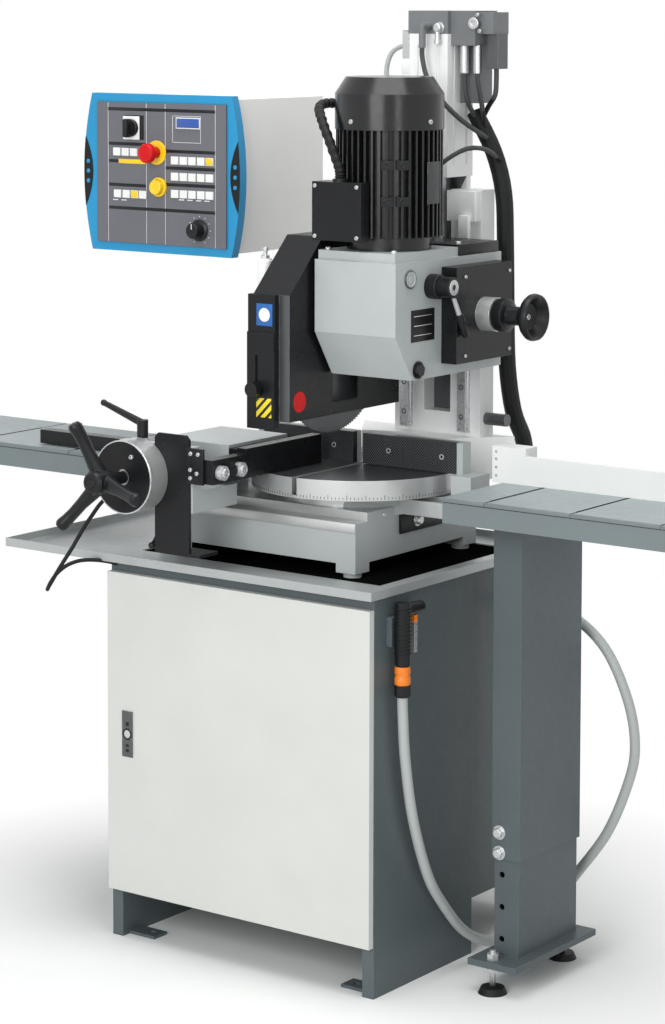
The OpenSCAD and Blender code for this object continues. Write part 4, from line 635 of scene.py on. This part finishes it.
def main_switch(face):
    centre = on_face("main_switch", face)
    base = Shape().block(*around(centre, SWITCH_BASE), SOFT_EDGE)
    base.add("switch_base", "black_plastic", "console")
    plate = Shape().block(*around(centre, SWITCH_PLATE), SOFT_EDGE)
    plate.add("switch_plate", "key_white", "console")
    handle = Shape().turned(centre, FRONT, SWITCH_HUB)
    handle.block(*around(centre, SWITCH_BAR), SWITCH_BAR_EDGE)
    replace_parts(handle.add("switch_handle", "black_plastic", "main_switch"), "main_switch")


def push_buttons(face):
    centre = on_face("estop_button", face)
    Shape().ring(centre, FRONT, *STOP_COLLAR).add("stop_collar", "yellow_plastic", "console")
    head = Shape().turned(centre, FRONT, STOP_HEAD, sides=40)
    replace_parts(head.add("stop_head", "red_plastic", "estop_button"), "estop_button")
    centre = on_face("start_button", face)
    Shape().ring(centre, FRONT, *START_BEZEL).add("start_bezel", "yellow_plastic", "console")
    head = Shape().turned(centre, FRONT, START_HEAD, sides=40)
    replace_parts(head.add("start_head", "yellow_plastic", "start_button"), "start_button")


def console_knob(face):
    centre = on_face("console_knob", face)
    knob = Shape().turned(centre, FRONT, KNOB_SKIRT, sides=40)
    knob.turned(centre, FRONT, KNOB_HEAD, sides=16)
    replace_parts(knob.add("knob_head", "black_plastic", "console_knob"), "console_knob")
    pointer = Shape().block(*around(centre, KNOB_POINTER))
    pointer.add("knob_pointer", "key_white", "console_knob")


def console_grips():
    """Black lens-shaped grip pads on the frame's front, with three blue dots on each."""
    low, high = box_of("console_frame")
    middle = (low.z + high.z) / 2
    half = (high.z - low.z) / 2
    for name, edge, way in (("left", low.x, -1), ("right", high.x, 1)):
        outer, inner = [], []
        for k in range(GRIP_STEPS + 1):
            t = 2 * k / GRIP_STEPS - 1
            z = middle + GRIP_REACH * t
            curve = edge - way * (FRAME_BULGE * (GRIP_REACH * t / half) ** 2 + SKIN)
            outer.append((curve, z))
            inner.append((curve - way * GRIP_WIDTH * (1 - t * t), z))
        pad = Shape().prism(outer + inner[-2:0:-1], (0, low.y + SKIN, 0), RIGHT, UP, SKIN + GRIP_RISE)
        pad.add("console_grip_" + name, "black_rubber", "console")
        dots = Shape()
        for k in (-1, 0, 1):
            centre = (edge - way * GRIP_WIDTH / 2, low.y - GRIP_RISE, middle + GRIP_DOT_GAP * k)
            dots.turned(centre, FRONT, GRIP_DOT)
        dots.add("console_dots_" + name, "console_blue", "console")


def console():
    face = box_of("console_panel")[0].y
    console_marks()
    main_switch(face)
    push_buttons(face)
    console_knob(face)
    console_grips()


# Head, motor and guard: a screw's size is its head's diameter
PATCH = ((14, 1244.5), (52, 1287))
PATCH_DISC = [(0, 0.3), (13, 0.3), (13.4, 0), (13.4, -0.3), (0, -0.3)]
STRIPES = ((16, 1069), (52, 1106))
RED_DISC_AT = (-225.6, 1097.2)
RED_DISC = [(0, SKIN), (20 - EDGE, SKIN), (20, 0), (20, -SKIN), (0, -SKIN)]
OILER_AT = Vector((-32, -185, 1300))
OILER_CUP = [(0, 0), (12, 0), (15, 3), (15, 60), (13, 62), (13, 64), (0, 64)]
OILER_TOP = [(0, 64), (8, 64), (8, 70), (4, 72), (4, 78), (6, 79), (6, 86), (0, 86)]
OILER_ARM = ((12, -7, 18), (12, 7, 38))
OILER_IN_WALL = 4
LID_SCREW_INSET = 15
LID_SCREW = 11
LID_SCREW_BACK = 16
FEED_FACE = 35
FEED_SCREWS = [(-7.5, 1334.6), (147.6, 1335.9), (-7.5, 1182), (147.6, 1182)]
FEED_SCREW = 7
TERMINAL_INSET = 8
TERMINAL_FACE_HEIGHT = 112
TERMINAL_SCREW = 8
COWL_SCREW_ANGLES = (-98, -8, 82, 172)
COWL_SCREW_LEVEL = 1634
COWL_RADIUS = 104.6
COWL_SCREW = 9
CAP_AT = (-143, 1338)
GEARBOX_CAP = [(0, 4), (6, 4), (7, 2.5), (12, 2.5), (13, 4), (15, 4), (15, -1), (0, -1)]
CAP_RING = (15.2, 18, 3)
PLUG_AT = (-116, 1163)
GEARBOX_PLUG = [(0, 9), (11, 9), (13, 7), (13, 3), (17, 3), (17, -1), (0, -1)]
GEARBOX_PLATE = ((-139, 1217), (-61, 1278))
GEARBOX_RIVET = [(0, 0.8), (1.4, 0.8), (2, 0.2), (2, -0.2), (0, -0.2)]
GEARBOX_RIVET_INSET = 4
PLATE_THICK = 0.8
PLATE_LINE_SHARES = (0.2, 0.5, 0.8)
PLATE_LINE_INSET = 9
PLATE_LINE_HALF = 0.6
PLATE_LINE_RISE = 0.2
PLATE_LINE_EDGE = 0.1
REAR_LID = ((100, 27, 1371), (278.5, 165, 1392))
REAR_POST = ((182, 165, 1390), (205, 176.5, 1437))
HUB_RADIUS = 20
LEVER_COLLAR = (20.2, 24, 24, 2)
LEVER_FACE = (6, 15, 1.2)
LEVER_BACK = 8.9
LEVER_WAY = Vector((0, 0.5, -math.sqrt(0.75)))
LEVER_SLEEVE_FROM = 62
LEVER_SLEEVE = [(0, 0), (6.5, 0), (7.5, 3), (8, 40), (7, 50), (4, 53), (0, 53)]
FEED_HUB = [
    (0, 0), (12, 0), (12, 33), (31, 33.5), (32, 36), (32, 54), (30, 56), (19, 58), (18, 84), (22, 90)]
FEED_DISH = [(26, 101), (10, 97), (0, 97)]
FEED_WHEEL_SCREW = 12
FEED_WHEEL_SCREW_AT = 96
MOTOR_PLATE = ((-98, 1478), (-58, 1558))
MOTOR_PLATE_IN = 0.6
MOTOR_RIVET = [(0, 0.8), (1.6, 0.8), (2.2, 0.1), (2.2, -0.2), (0, -0.2)]
MOTOR_RIVET_INSET = 5
PAD_ANGLES = (-57, -41)
PAD_LEVELS = (1484, 1553)
PAD_OUTLINE = [(-11, -9), (11, -9), (12, -8), (12, 8), (11, 9), (-11, 9), (-12, 8), (-12, -8)]
PAD_FOOT = 88
PAD_HIGH = 19
PAD_EYE = [(0, -3), (4, -3), (4, 0.4), (6, 0.4), (6, -1), (0, -1)]


def outward(angle):
    """The level direction at that angle in degrees, and the one across it."""
    a = math.radians(angle)
    return Vector((math.cos(a), math.sin(a), 0)), Vector((-math.sin(a), math.cos(a), 0))


def guard_marks():
    low, high = box_of("guard_plate")
    (x0, z0), (x1, z1) = PATCH
    patch = Shape().block((x0, high.y - SKIN, z0), (x1, high.y + 2 * SKIN, z1))
    patch.add("guard_patch", "console_blue", "guard", PATCH_BLUE)
    dot = Shape().turned(((x0 + x1) / 2, high.y - SKIN, (z0 + z1) / 2), FRONT, PATCH_DISC)
    dot.add("guard_patch_disc", "key_white", "guard")
    (x0, z0), (x1, z1) = STRIPES
    stripes = Shape().block((x0, low.y - SKIN, z0), (x1, low.y + SKIN, z1))
    stripes.add("guard_stripes", "yellow_plastic", "guard_plate", HAZARD)
    disc = Shape().turned((box_of("guard")[1].x, *RED_DISC_AT), RIGHT, RED_DISC, sides=40)
    disc.add("guard_disc", "red_plastic", "guard")


def guard_oiler():
    """The spray oiler's canister, held on the guard's left wall by a short arm."""
    cup = Shape().turned(OILER_AT, UP, OILER_CUP)
    near, far = around(OILER_AT, OILER_ARM)
    far.x = box_of("guard")[0].x + OILER_IN_WALL
    cup.block(near, far, ROUND_EDGE)
    cup.add("oiler_cup", "bright_alu", "guard")
    top = Shape().turned(OILER_AT, UP, OILER_TOP, sides=20, hexed=(1, 2))
    top.add("oiler_fitting", "steel", "guard")


def head_screws():
    screws = Shape()
    low, high = box_of("gearbox")
    motor_back = box_of("motor")[1].y
    for x in (box_of("guard")[1].x + 2 * LID_SCREW_INSET, high.x - LID_SCREW_INSET):
        screws.screw((x, low.y + LID_SCREW_INSET, high.z), UP, LID_SCREW)
        screws.screw((x, motor_back + LID_SCREW_BACK, REAR_LID[1][2]), UP, LID_SCREW)
    face = box_of("feed_box")[0].x + FEED_FACE
    for y, z in FEED_SCREWS:
        screws.screw((face, y, z), RIGHT, FEED_SCREW)
    low, high = box_of("terminal_box")
    for x in (low.x + TERMINAL_INSET, high.x - TERMINAL_INSET):
        for z in (low.z + TERMINAL_INSET, low.z + TERMINAL_FACE_HEIGHT - TERMINAL_INSET):
            screws.screw((x, low.y, z), FRONT, TERMINAL_SCREW)
    axis = middle_of("motor_cowl")
    for angle in COWL_SCREW_ANGLES:
        out, _ = outward(angle)
        screws.screw(Vector((axis.x, axis.y, COWL_SCREW_LEVEL)) + out * COWL_RADIUS, out, COWL_SCREW)
    screws.add("head_screws", "steel", "head")


def gearbox_fittings():
    side = box_of("gearbox")[1].x
    cap = Shape().turned((side, *CAP_AT), RIGHT, GEARBOX_CAP, sides=36)
    cap.add("gearbox_cap", "body_paint", "head")
    ring = Shape().ring((side, *CAP_AT), RIGHT, *CAP_RING)
    ring.add("gearbox_cap_ring", "steel", "head", DARK_STEEL)
    plug = Shape().turned((side, *PLUG_AT), RIGHT, GEARBOX_PLUG, sides=30, hexed=(1, 2, 3))
    plug.add("gearbox_plug", "black_plastic", "head")
    gearbox_plate(side)
    Shape().block(*REAR_LID, ROUND_EDGE).add("gearbox_rear_lid", "black_paint", "head")
    Shape().block(*REAR_POST, ROUND_EDGE).add("gearbox_rear_post", "bright_alu", "head")


def gearbox_plate(side):
    """A riveted plate with three plain lines and no words."""
    (y0, z0), (y1, z1) = GEARBOX_PLATE
    face = side + PLATE_THICK
    plate = Shape().block((side - SKIN, y0, z0), (face, y1, z1), THIN_EDGE)
    for y in (y0 + GEARBOX_RIVET_INSET, y1 - GEARBOX_RIVET_INSET):
        for z in (z0 + GEARBOX_RIVET_INSET, z1 - GEARBOX_RIVET_INSET):
            plate.turned((face, y, z), RIGHT, GEARBOX_RIVET, sides=12)
    plate.add("gearbox_plate", "black_plastic", "head")
    lines = Shape()
    for share in PLATE_LINE_SHARES:
        z = z0 + (z1 - z0) * share
        lines.block((face - PLATE_LINE_RISE, y0 + PLATE_LINE_INSET, z - PLATE_LINE_HALF),
                    (face + PLATE_LINE_RISE, y1 - PLATE_LINE_INSET, z + PLATE_LINE_HALF), PLATE_LINE_EDGE)
    lines.add("gearbox_plate_lines", "key_white", "head")


def speed_lever_fittings():
    low, high = box_of("speed_lever")
    hub = Vector((low.x, low.y + HUB_RADIUS, high.z - HUB_RADIUS))
    collar = Shape().ring(hub, RIGHT, *LEVER_COLLAR)
    collar.add("lever_collar", "black_plastic", "speed_lever")
    face = Shape().ring((high.x, hub.y, hub.z), RIGHT, *LEVER_FACE)
    face.add("lever_face", "steel", "speed_lever")
    start = Vector((high.x - LEVER_BACK, hub.y, hub.z)) + LEVER_WAY * LEVER_SLEEVE_FROM
    sleeve = Shape().turned(start, LEVER_WAY, LEVER_SLEEVE, sides=24)
    sleeve.add("lever_sleeve", "black_plastic", "speed_lever")


def feed_wheel():
    """The dished handwheel of the feed, on its shaft in the collar."""
    low, high = box_of("feed_knob")
    axis = middle_of("feed_knob")
    rim = high.z - axis.z
    long = high.x - low.x
    rounded = [(rim - 6, 102), (rim - 1, 108), (rim, 113), (rim - 2, long - 1), (rim - 5, long),
               (rim - 9, long - 3)]
    wheel = Shape().turned((low.x, axis.y, axis.z), RIGHT, FEED_HUB + rounded + FEED_DISH, sides=48)
    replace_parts(wheel.add("feed_wheel", "black_plastic", "feed_knob"), "feed_knob")
    screw = Shape().screw((low.x + FEED_WHEEL_SCREW_AT, axis.y, axis.z), RIGHT, FEED_WHEEL_SCREW)
    screw.add("feed_wheel_screw", "steel", "feed_knob")


def motor_fittings():
    (y0, z0), (y1, z1) = MOTOR_PLATE
    face = box_of("motor")[1].x
    axis = middle_of("motor_cowl")
    plate = Shape().block((face - MOTOR_PLATE_IN, y0, z0), (face + PLATE_THICK, y1, z1), THIN_EDGE)
    for z in (z0 + MOTOR_RIVET_INSET, z1 - MOTOR_RIVET_INSET):
        plate.turned((face + PLATE_THICK, (y0 + y1) / 2, z), RIGHT, MOTOR_RIVET, sides=12)
    plate.add("motor_plate", "steel", "head", NAMEPLATE)
    pads = Shape()
    for angle in PAD_ANGLES:
        out, along = outward(angle)
        for z in PAD_LEVELS:
            foot = Vector((axis.x, axis.y, z)) + out * PAD_FOOT
            pads.prism(PAD_OUTLINE, foot, along, UP, PAD_HIGH)
            pads.turned(foot + out * PAD_HIGH, out, PAD_EYE, sides=18)
    pads.add("motor_pads", "black_paint", "head")


# Column and valves
RAIL_SHARE = 1 / 16
RAIL_SCREW = [(0, -2), (3, -2), (3, 0.3), (5.5, 0.3), (5.5, -0.5), (0, -0.5)]
RAIL_SCREW_GAP = 60
RAIL_COVER = ((146, 177.5, 1424), (213.5, 200.5, 1485))
VALVE_FRONT = 175
VALVE_DISC_AT = (209.5, 1818)
VALVE_DISC = [(0, 2), (4, 2), (5, 3), (11, 3), (12, 2), (12, -1), (0, -1)]
VALVE_SCREWS = [(219.5, 1835), (224.8, 1803)]
VALVE_SCREW = 8
ELBOW_AT = Vector((137.6, 163, 1809))
ELBOW = [(0, 14), (7, 14), (9, 12), (9, 3), (11, 3), (11, -1), (0, -1)]
ELBOW_DROP_FROM = Vector((0, -9, -4))
ELBOW_DROP = [(0, 0), (5, 0), (5, 18), (7, 19), (7, 28), (0, 28)]
LEFT_COIL = ((25.8, 189.6, 1715), (57, 228.4, 1746))


def column_fittings():
    """Screws along the middle of each rail, up to the cover plate above them."""
    low, high = box_of("rails")
    inset = (high.x - low.x) * RAIL_SHARE
    screws = Shape()
    for x in (low.x + inset, high.x - inset):
        z = low.z + RAIL_SCREW_GAP / 2
        while z < RAIL_COVER[0][2]:
            screws.turned((x, low.y, z), FRONT, RAIL_SCREW, sides=18, hexed=(1, 2))
            z += RAIL_SCREW_GAP
    screws.add("rail_screws", "steel", "turret", DARK_STEEL)
    Shape().block(*RAIL_COVER, ROUND_EDGE).add("rail_cover", "bright_alu", "turret")


def valve_fittings():
    bright = Shape()
    x, z = VALVE_DISC_AT
    bright.turned((x, VALVE_FRONT, z), FRONT, VALVE_DISC, sides=30)
    for x, z in VALVE_SCREWS:
        bright.screw((x, VALVE_FRONT, z), FRONT, VALVE_SCREW)
    bright.turned(ELBOW_AT, FRONT, ELBOW, sides=20, hexed=(4,))
    bright.turned(ELBOW_AT + ELBOW_DROP_FROM, -UP, ELBOW_DROP, sides=20)
    bright.add("valve_fittings", "steel", "turret")
    Shape().block(*LEFT_COIL, ROUND_EDGE).add("valve_coil", "bright_alu", "turret")


# Bed, turntable, jaws and vise
JAW_SCREWS = {"right_jaw": [(123.5, 977.5), (250.5, 977.5)], "left_jaw": [(-9.8, 977.5), (-137, 977.5)]}
JAW_SCREW = [(0, -1.5), (2.97, -1.5), (2.97, 0.2), (5.5, 0.2), (5.5, -1), (0, -1)]
TICK_ANGLES = range(-200, 21, 2)
TICK_LOW = 908
TICK_HALF = 0.45
TICK_LONG, TICK_SHORT = 9, 5
TICKS_TO_LONG = 5
TICK_IN, TICK_THICK = 0.3, 0.55
VISE_CAP_BORE = 16
VISE_CAP_THICK = 3
VISE_CAP_INSET = 2
VISE_CAP_ROUND = 1
VISE_RIM_RISE = 0.6
VISE_RIM_BACK = 4
VISE_SCREW_CIRCLE = 48
VISE_SCREW_ANGLES = (60, 180, 300)
VISE_SCREW = 9
BAR_BOLTS = [(-352, 968), (-296.5, 968)]
BAR_BOLT = [(0, 2), (5, 2), (5, 7), (8.5, 7), (9.5, 6), (9.5, 2), (14, 2), (14, -11), (0, -11)]
BAR_BRACKET = ((-71.5, -377, 944), (-34, -370.6, 1013))
BRACKET_BOLTS = [(-62, 1003), (-44, 1003), (-63, 972), (-47, 966), (-63, 956)]
BRACKET_BOLT = 8
WHEEL_Y = -476
SPOKE_ANGLES = (110, -10, 230)
SPOKE_LEAN = math.radians(18)
SPOKE_FROM = 9.6
SPOKE_GRIP = [
    (0, 2), (17, 2), (15, 22), (12, 50), (10.6, 76), (11.4, 94), (13, 104), (13, 110), (10, 115), (0, 117)]
WHEEL_BOSS = [
    (0, 33), (8, 33), (9, 31), (13, 31), (14, 33), (19, 32), (23, 27), (23, -6), (0, -6)]
CLAMP_FOOT = Vector((-206, -349, 1045))
CLAMP_TURN = math.radians(-72)
CLAMP_REACH = 104
CLAMP_BALL = 6.5
CLAMP_BALL_ARCS = range(-70, 71, 20)
CLAMP_RING = (11.1, 13, 6)
BED_STRIP = ((-299.5, -185.6, 847), (184.5, -184.6, 865.6))
BED_BRACKET = ((184.6, -40, 826), (191, 104, 864))
BED_BOLT_AT = (191, 14, 847.5)
BED_BOLT = 18
BED_SCREW_AT = (185, -93, 872)
BED_SCREW = 10
WELL = ((-325, -210, 757.5), (260, 257, 758.8))


def turntable_scale():
    low, high = box_of("turret")
    radius = (high.x - low.x) / 2
    centre = Vector((low.x + radius, high.y - radius, TICK_LOW))
    ticks = Shape()
    for k, angle in enumerate(TICK_ANGLES):
        out, along = outward(angle)
        tall = TICK_SHORT if k % TICKS_TO_LONG else TICK_LONG
        outline = [(-TICK_HALF, 0), (TICK_HALF, 0), (TICK_HALF, tall), (-TICK_HALF, tall)]
        ticks.prism(outline, centre + out * (radius - TICK_IN), along, UP, TICK_THICK)
    ticks.add("turntable_ticks", "black_plastic", "turret")


def jaw_screws():
    for body, places in JAW_SCREWS.items():
        screws = Shape()
        face = box_of(body + "_plate")[0].y
        for x, z in places:
            screws.turned((x, face, z), FRONT, JAW_SCREW, sides=24, hexed=(1, 2))
        screws.add(body + "_screws", "steel", body)


def on_dial(angle):
    """The direction at that angle in degrees on an upright dial that looks to the front."""
    a = math.radians(angle)
    return Vector((math.cos(a), 0, math.sin(a)))


def vise_fittings():
    low, high = box_of("vise_cylinder")
    axis = middle_of("vise_cylinder")
    front = Vector((axis.x, low.y, axis.z))
    radius = (high.x - low.x) / 2
    inner, outer = radius - VISE_CAP_INSET, radius + VISE_RIM_RISE
    cap = Shape().ring(front, FRONT, VISE_CAP_BORE, inner, VISE_CAP_THICK, VISE_CAP_ROUND)
    cap.add("vise_cap", "black_paint", "vise")
    rim = Shape().turned(front, BACK, [
        (inner, -VISE_CAP_THICK), (outer, VISE_CAP_ROUND - VISE_CAP_THICK), (outer, VISE_RIM_BACK),
        (inner, VISE_RIM_BACK)], sides=56, closed=True)
    rim.add("vise_rim", "steel", "vise")
    screws = Shape()
    for angle in VISE_SCREW_ANGLES:
        place = front + on_dial(angle) * VISE_SCREW_CIRCLE + FRONT * VISE_CAP_THICK
        screws.screw(place, FRONT, VISE_SCREW)
    screws.add("vise_screws", "steel", "vise")
    bolts = Shape()
    side = box_of("clamp_bar")[1].x
    for y, z in BAR_BOLTS:
        bolts.turned((side, y, z), RIGHT, BAR_BOLT, hexed=(1, 2))
    bolts.add("clamp_bolts", "steel", "moving_jaw")


def handwheel_grips():
    """Swelling grips on the spokes of the vise's handwheel, and the boss on its hub."""
    axis = middle_of("vise_cylinder")
    centre = Vector((axis.x, WHEEL_Y, axis.z))
    grips = Shape()
    for angle in SPOKE_ANGLES:
        out = on_dial(angle)
        way = out * math.cos(SPOKE_LEAN) + FRONT * math.sin(SPOKE_LEAN)
        grips.turned(centre + out * SPOKE_FROM, way, SPOKE_GRIP)
    grips.turned(centre, FRONT, WHEEL_BOSS, sides=36)
    grips.add("handwheel_grips", "black_plastic", "handwheel")


def clamp_ball():
    """The ball on the end of the clamp lever, and the ring at its foot."""
    way = Vector((math.sin(CLAMP_TURN), 0, math.cos(CLAMP_TURN)))
    arcs = [math.radians(angle) for angle in CLAMP_BALL_ARCS]
    profile = [(CLAMP_BALL * math.cos(a), CLAMP_BALL * math.sin(a)) for a in arcs]
    ball = Shape().turned(CLAMP_FOOT + way * CLAMP_REACH, way,
                          [(0, -CLAMP_BALL)] + profile + [(0, CLAMP_BALL)])
    ball.add("clamp_ball", "black_plastic", "clamp_lever")
    low = box_of("clamp_lever")[0].z
    ring = Shape().ring((CLAMP_FOOT.x, CLAMP_FOOT.y, low), UP, *CLAMP_RING)
    ring.add("clamp_ring", "steel", "clamp_lever")


def bar_bracket():
    """The black bracket on the clamp bar's front end, with its bolts."""
    bracket = Shape().block(*BAR_BRACKET, ROUND_EDGE)
    bracket.add("bar_bracket", "black_paint", "moving_jaw")
    bolts = Shape()
    for x, z in BRACKET_BOLTS:
        bolts.screw((x, BAR_BRACKET[0][1], z), FRONT, BRACKET_BOLT)
    bolts.add("bar_bracket_bolts", "steel", "moving_jaw")


def bed_fittings():
    Shape().block(*BED_STRIP, THIN_EDGE).add("bed_way_strip", "machined", "base")
    Shape().block(*BED_BRACKET, ROUND_EDGE).add("bed_bracket", "black_paint", "base")
    bolts = Shape().bolt(BED_BOLT_AT, RIGHT, BED_BOLT)
    bolts.screw(BED_SCREW_AT, RIGHT, BED_SCREW)
    bolts.add("bed_bolts", "steel", "base")
    # A black sheet over the well floor inside the tray: painted shade
    Shape().block(*WELL, THIN_EDGE).add("tray_well_painted_shade", "black_paint", "base", PAINTED_SHADE_BLACK)


# Cabinet, door, tables, gun and legs
LIP_SHARES = (0, 1 / 6, 1 / 2, 5 / 6, 1)
LIP_GAP = 1.2
LIP_HEIGHT = 8
LIP_RISE = 1.5
# How far the painted shadow line under the lips stops short of each table's ends
LIP_SHADOW_SHORT = 1
SEAM_SHORT = 20
SEAM_BACK = -12
LEG_BOLTS = [(473, 301), (473, 262)]
LEG_BOLT = 19
LOCK = (-267, 418)
LOCK_PLATES = (((-13.5, 10), (13.5, 46)), ((-13.5, -46), (13.5, -10)),
               ((-13.5, -10.5), (-9, 10.5)), ((9, -10.5), (13.5, 10.5)))
LOCK_THICK = 1.2
LOCK_MARKS = ((16, 24), (-26, -20), (-36, -30))
LOCK_MARK_HALF = 4
LOCK_RING = (8.6, 11.5, 1.2, 0.4)
GUN = (345, -255)
GUN_COLLAR_FROM = 592
GUN_COLLAR = [
    (12.1, 0), (14.4, 0), (15, 2), (15, 14), (13.6, 16), (13.6, 20), (15, 22), (15, 31), (14, 35), (12.1, 35)]
GUN_NUT_FROM = 569
GUN_NUT = [(12.1, 0), (13, 0), (15, 3), (15, 23), (12.1, 23)]
GUN_RIB_LEVELS = range(650, 736, 7)
GUN_RIB = [(14.8, 0), (16, 1), (16, 3), (14.8, 4)]
TRIGGER_CAP_HIGH = 14
TRIGGER_CAP_PAST = Vector((1, 1, 1))
TRIGGER_CAP_EDGE = 2
RULE_SCREW_LEVELS = (958, 974, 990, 1004)
RULE_SCREW_INSET = 9
RULE_SCREW = [(0, -0.6), (1.4, -0.6), (1.4, 0.2), (2.6, 0.2), (2.6, -0.3), (0, -0.3)]


def table_lips():
    """Lips along the front edges of the tables, a painted shadow line under the lips, and the seams between
    their plates.
    """
    for side in ("left", "right"):
        low, high = box_of(side + "_table")
        bottom = high.z - LIP_HEIGHT
        joints = [low.x + (high.x - low.x) * share for share in LIP_SHARES]
        lips = Shape()
        for x0, x1 in zip(joints, joints[1:]):
            lips.block((x0 + LIP_GAP, low.y - LIP_RISE, bottom),
                       (x1 - LIP_GAP, low.y + SKIN, high.z - SKIN), SOFT_EDGE)
        lips.add(f"{side}_table_lips", "table_paint", "base")
        lip_shadow_and_seams = Shape()
        # A thin black strip just under the lips: a painted shadow line; the strips at the joints that follow
        # are the plates' real dark seams
        lip_shadow_and_seams.block((low.x + LIP_SHADOW_SHORT, low.y - SKIN, bottom - LIP_GAP),
                      (high.x - LIP_SHADOW_SHORT, low.y + SKIN, bottom))
        for x in joints[1:-1]:
            lip_shadow_and_seams.block((x - LIP_GAP, low.y + SEAM_SHORT, high.z - SKIN),
                          (x + LIP_GAP, SEAM_BACK, high.z + SKIN))
        lip_shadow_and_seams.add(f"{side}_table_seams_and_lip_shadow", "black_rubber", "base")


def leg_bolts():
    bolts = Shape()
    face = box_of("table_legs")[0].y
    for x, z in LEG_BOLTS:
        bolts.bolt((x, face, z), FRONT, LEG_BOLT)
    bolts.add("leg_bolts", "steel", "base")


def door_lock_plate():
    """The lock's plate in four strips around its turning middle, with plain marks on it."""
    x, z = LOCK
    back = box_of("door")[0].y
    front = back - LOCK_THICK
    plate = Shape()
    for low, high in LOCK_PLATES:
        plate.block((x + low[0], front, z + low[1]), (x + high[0], back + SKIN, z + high[1]), THIN_EDGE)
    plate.add("lock_plate", "steel", "door", DARK_STEEL)
    marks = Shape()
    for low, high in LOCK_MARKS:
        marks.block((x - LOCK_MARK_HALF, front - SKIN, z + low),
                    (x + LOCK_MARK_HALF, front + SKIN, z + high), THIN_EDGE)
    marks.ring((x, front, z), FRONT, *LOCK_RING)
    marks.add("lock_marks", "black_plastic", "door")


def gun_fittings():
    x, y = GUN
    collar = Shape().turned((x, y, GUN_COLLAR_FROM), UP, GUN_COLLAR, sides=30, closed=True)
    collar.add("gun_collar", "orange_plastic", "base")
    nut = Shape().turned((x, y, GUN_NUT_FROM), UP, GUN_NUT, sides=30, hexed=(2, 3), closed=True)
    nut.add("gun_nut", "black_plastic", "base")
    ribs = Shape()
    for z in GUN_RIB_LEVELS:
        ribs.turned((x, y, z), UP, GUN_RIB, sides=30, closed=True)
    ribs.add("gun_ribs", "black_rubber", "base")
    low, high = box_of("gun_trigger")
    low = low - TRIGGER_CAP_PAST
    low.z = high.z - TRIGGER_CAP_HIGH
    cap = Shape().block(low, high + TRIGGER_CAP_PAST, TRIGGER_CAP_EDGE)
    cap.add("trigger_cap", "orange_plastic", "gun_trigger")


def rule_screws():
    low, _ = box_of("length_rule")
    dots = Shape()
    for z in RULE_SCREW_LEVELS:
        dots.turned((low.x + RULE_SCREW_INSET, low.y, z), FRONT, RULE_SCREW, sides=14)
    dots.add("rule_screws", "steel", "base", DARK_STEEL)


# Studio: lights have a place, a width and height, and a power
FLOOR_HALF = 7
FLOOR_FADE = (0.5, 1.1)
FLOOR_SCALE = 3
FLOOR_ROUGH = 0.9
LIGHTS = {
    "key": ((0.9, -5.0, 2.6), (2.6, 2.6), 135),
    "fill": ((4.4, -3.2, 2.2), (1.1, 2.4), 25),
    "top": ((0.4, -0.5, 4.8), (3.0, 3.0), 115),
}
LIGHT_AIM = Vector((0, 0, 0.9))
AMBIENT = 0.42
WHITE = (1, 1, 1, 1)


def add_world():
    """A backdrop that is white where it is seen, and a dimmer light all around."""
    world = bpy.data.worlds.new("studio")
    tree = Tree(world)
    tree.shader.inputs["Color"].default_value = WHITE
    tree.links.new(tree.between(tree.seen(), AMBIENT, 1.0, 0.0, 1.0), tree.shader.inputs["Strength"])
    bpy.context.scene.world = world


def add_lights():
    for name, (place, size, power) in LIGHTS.items():
        light = bpy.data.lights.new(name, "AREA")
        light.shape = "RECTANGLE"
        light.size, light.size_y = size
        light.energy = power
        lamp = add_object(name, light)
        lamp.location = place
        lamp.rotation_euler = (LIGHT_AIM - Vector(place)).to_track_quat("-Z", "Y").to_euler()


def floor_material():
    """A pale floor that keeps the shadows and fades into the white backdrop further out."""
    tree = Tree(bpy.data.materials.new("floor"))
    tree.shader.inputs["Roughness"].default_value = FLOOR_ROUGH
    place = tree.add("TexCoord").outputs["Object"]
    base = tree.ramp(tree.noise(place, FLOOR_SCALE), linear("f4f6f5"), linear("fafbfa"))
    tree.links.new(base, tree.shader.inputs["Base Color"])
    away = tree.add("VectorMath", {0: place}, {"operation": "LENGTH"}).outputs["Value"]
    share = tree.maths("MULTIPLY", tree.between(away, 0.0, 1.0, *FLOOR_FADE), tree.seen())
    glow = tree.add("Emission", Color=WHITE, Strength=1.0)
    both = tree.add("MixShader", {0: share, 1: tree.shader.outputs["BSDF"], 2: glow.outputs["Emission"]})
    tree.links.new(both.outputs["Shader"], tree.nodes["Material Output"].inputs["Surface"])
    return tree.owner


def add_floor():
    mesh = bpy.data.meshes.new("floor")
    corners = [(-1, -1), (1, -1), (1, 1), (-1, 1)]
    mesh.from_pydata([(x * FLOOR_HALF, y * FLOOR_HALF, 0) for x, y in corners], [], [(0, 1, 2, 3)])
    floor = add_object("floor", mesh)
    mesh.materials.append(floor_material())


bpy.context.scene.view_settings.view_transform = "Standard"
BUILDERS = (
    add_camera, add_cords, add_world, add_lights, add_floor, dress_nodes, second_finishes, console,
    guard_marks, guard_oiler, head_screws, gearbox_fittings, speed_lever_fittings, feed_wheel,
    motor_fittings, column_fittings, valve_fittings, turntable_scale, jaw_screws, vise_fittings,
    handwheel_grips, clamp_ball, bar_bracket, bed_fittings, table_lips, leg_bolts, door_lock_plate,
    gun_fittings, rule_screws)
for build in BUILDERS:
    build()
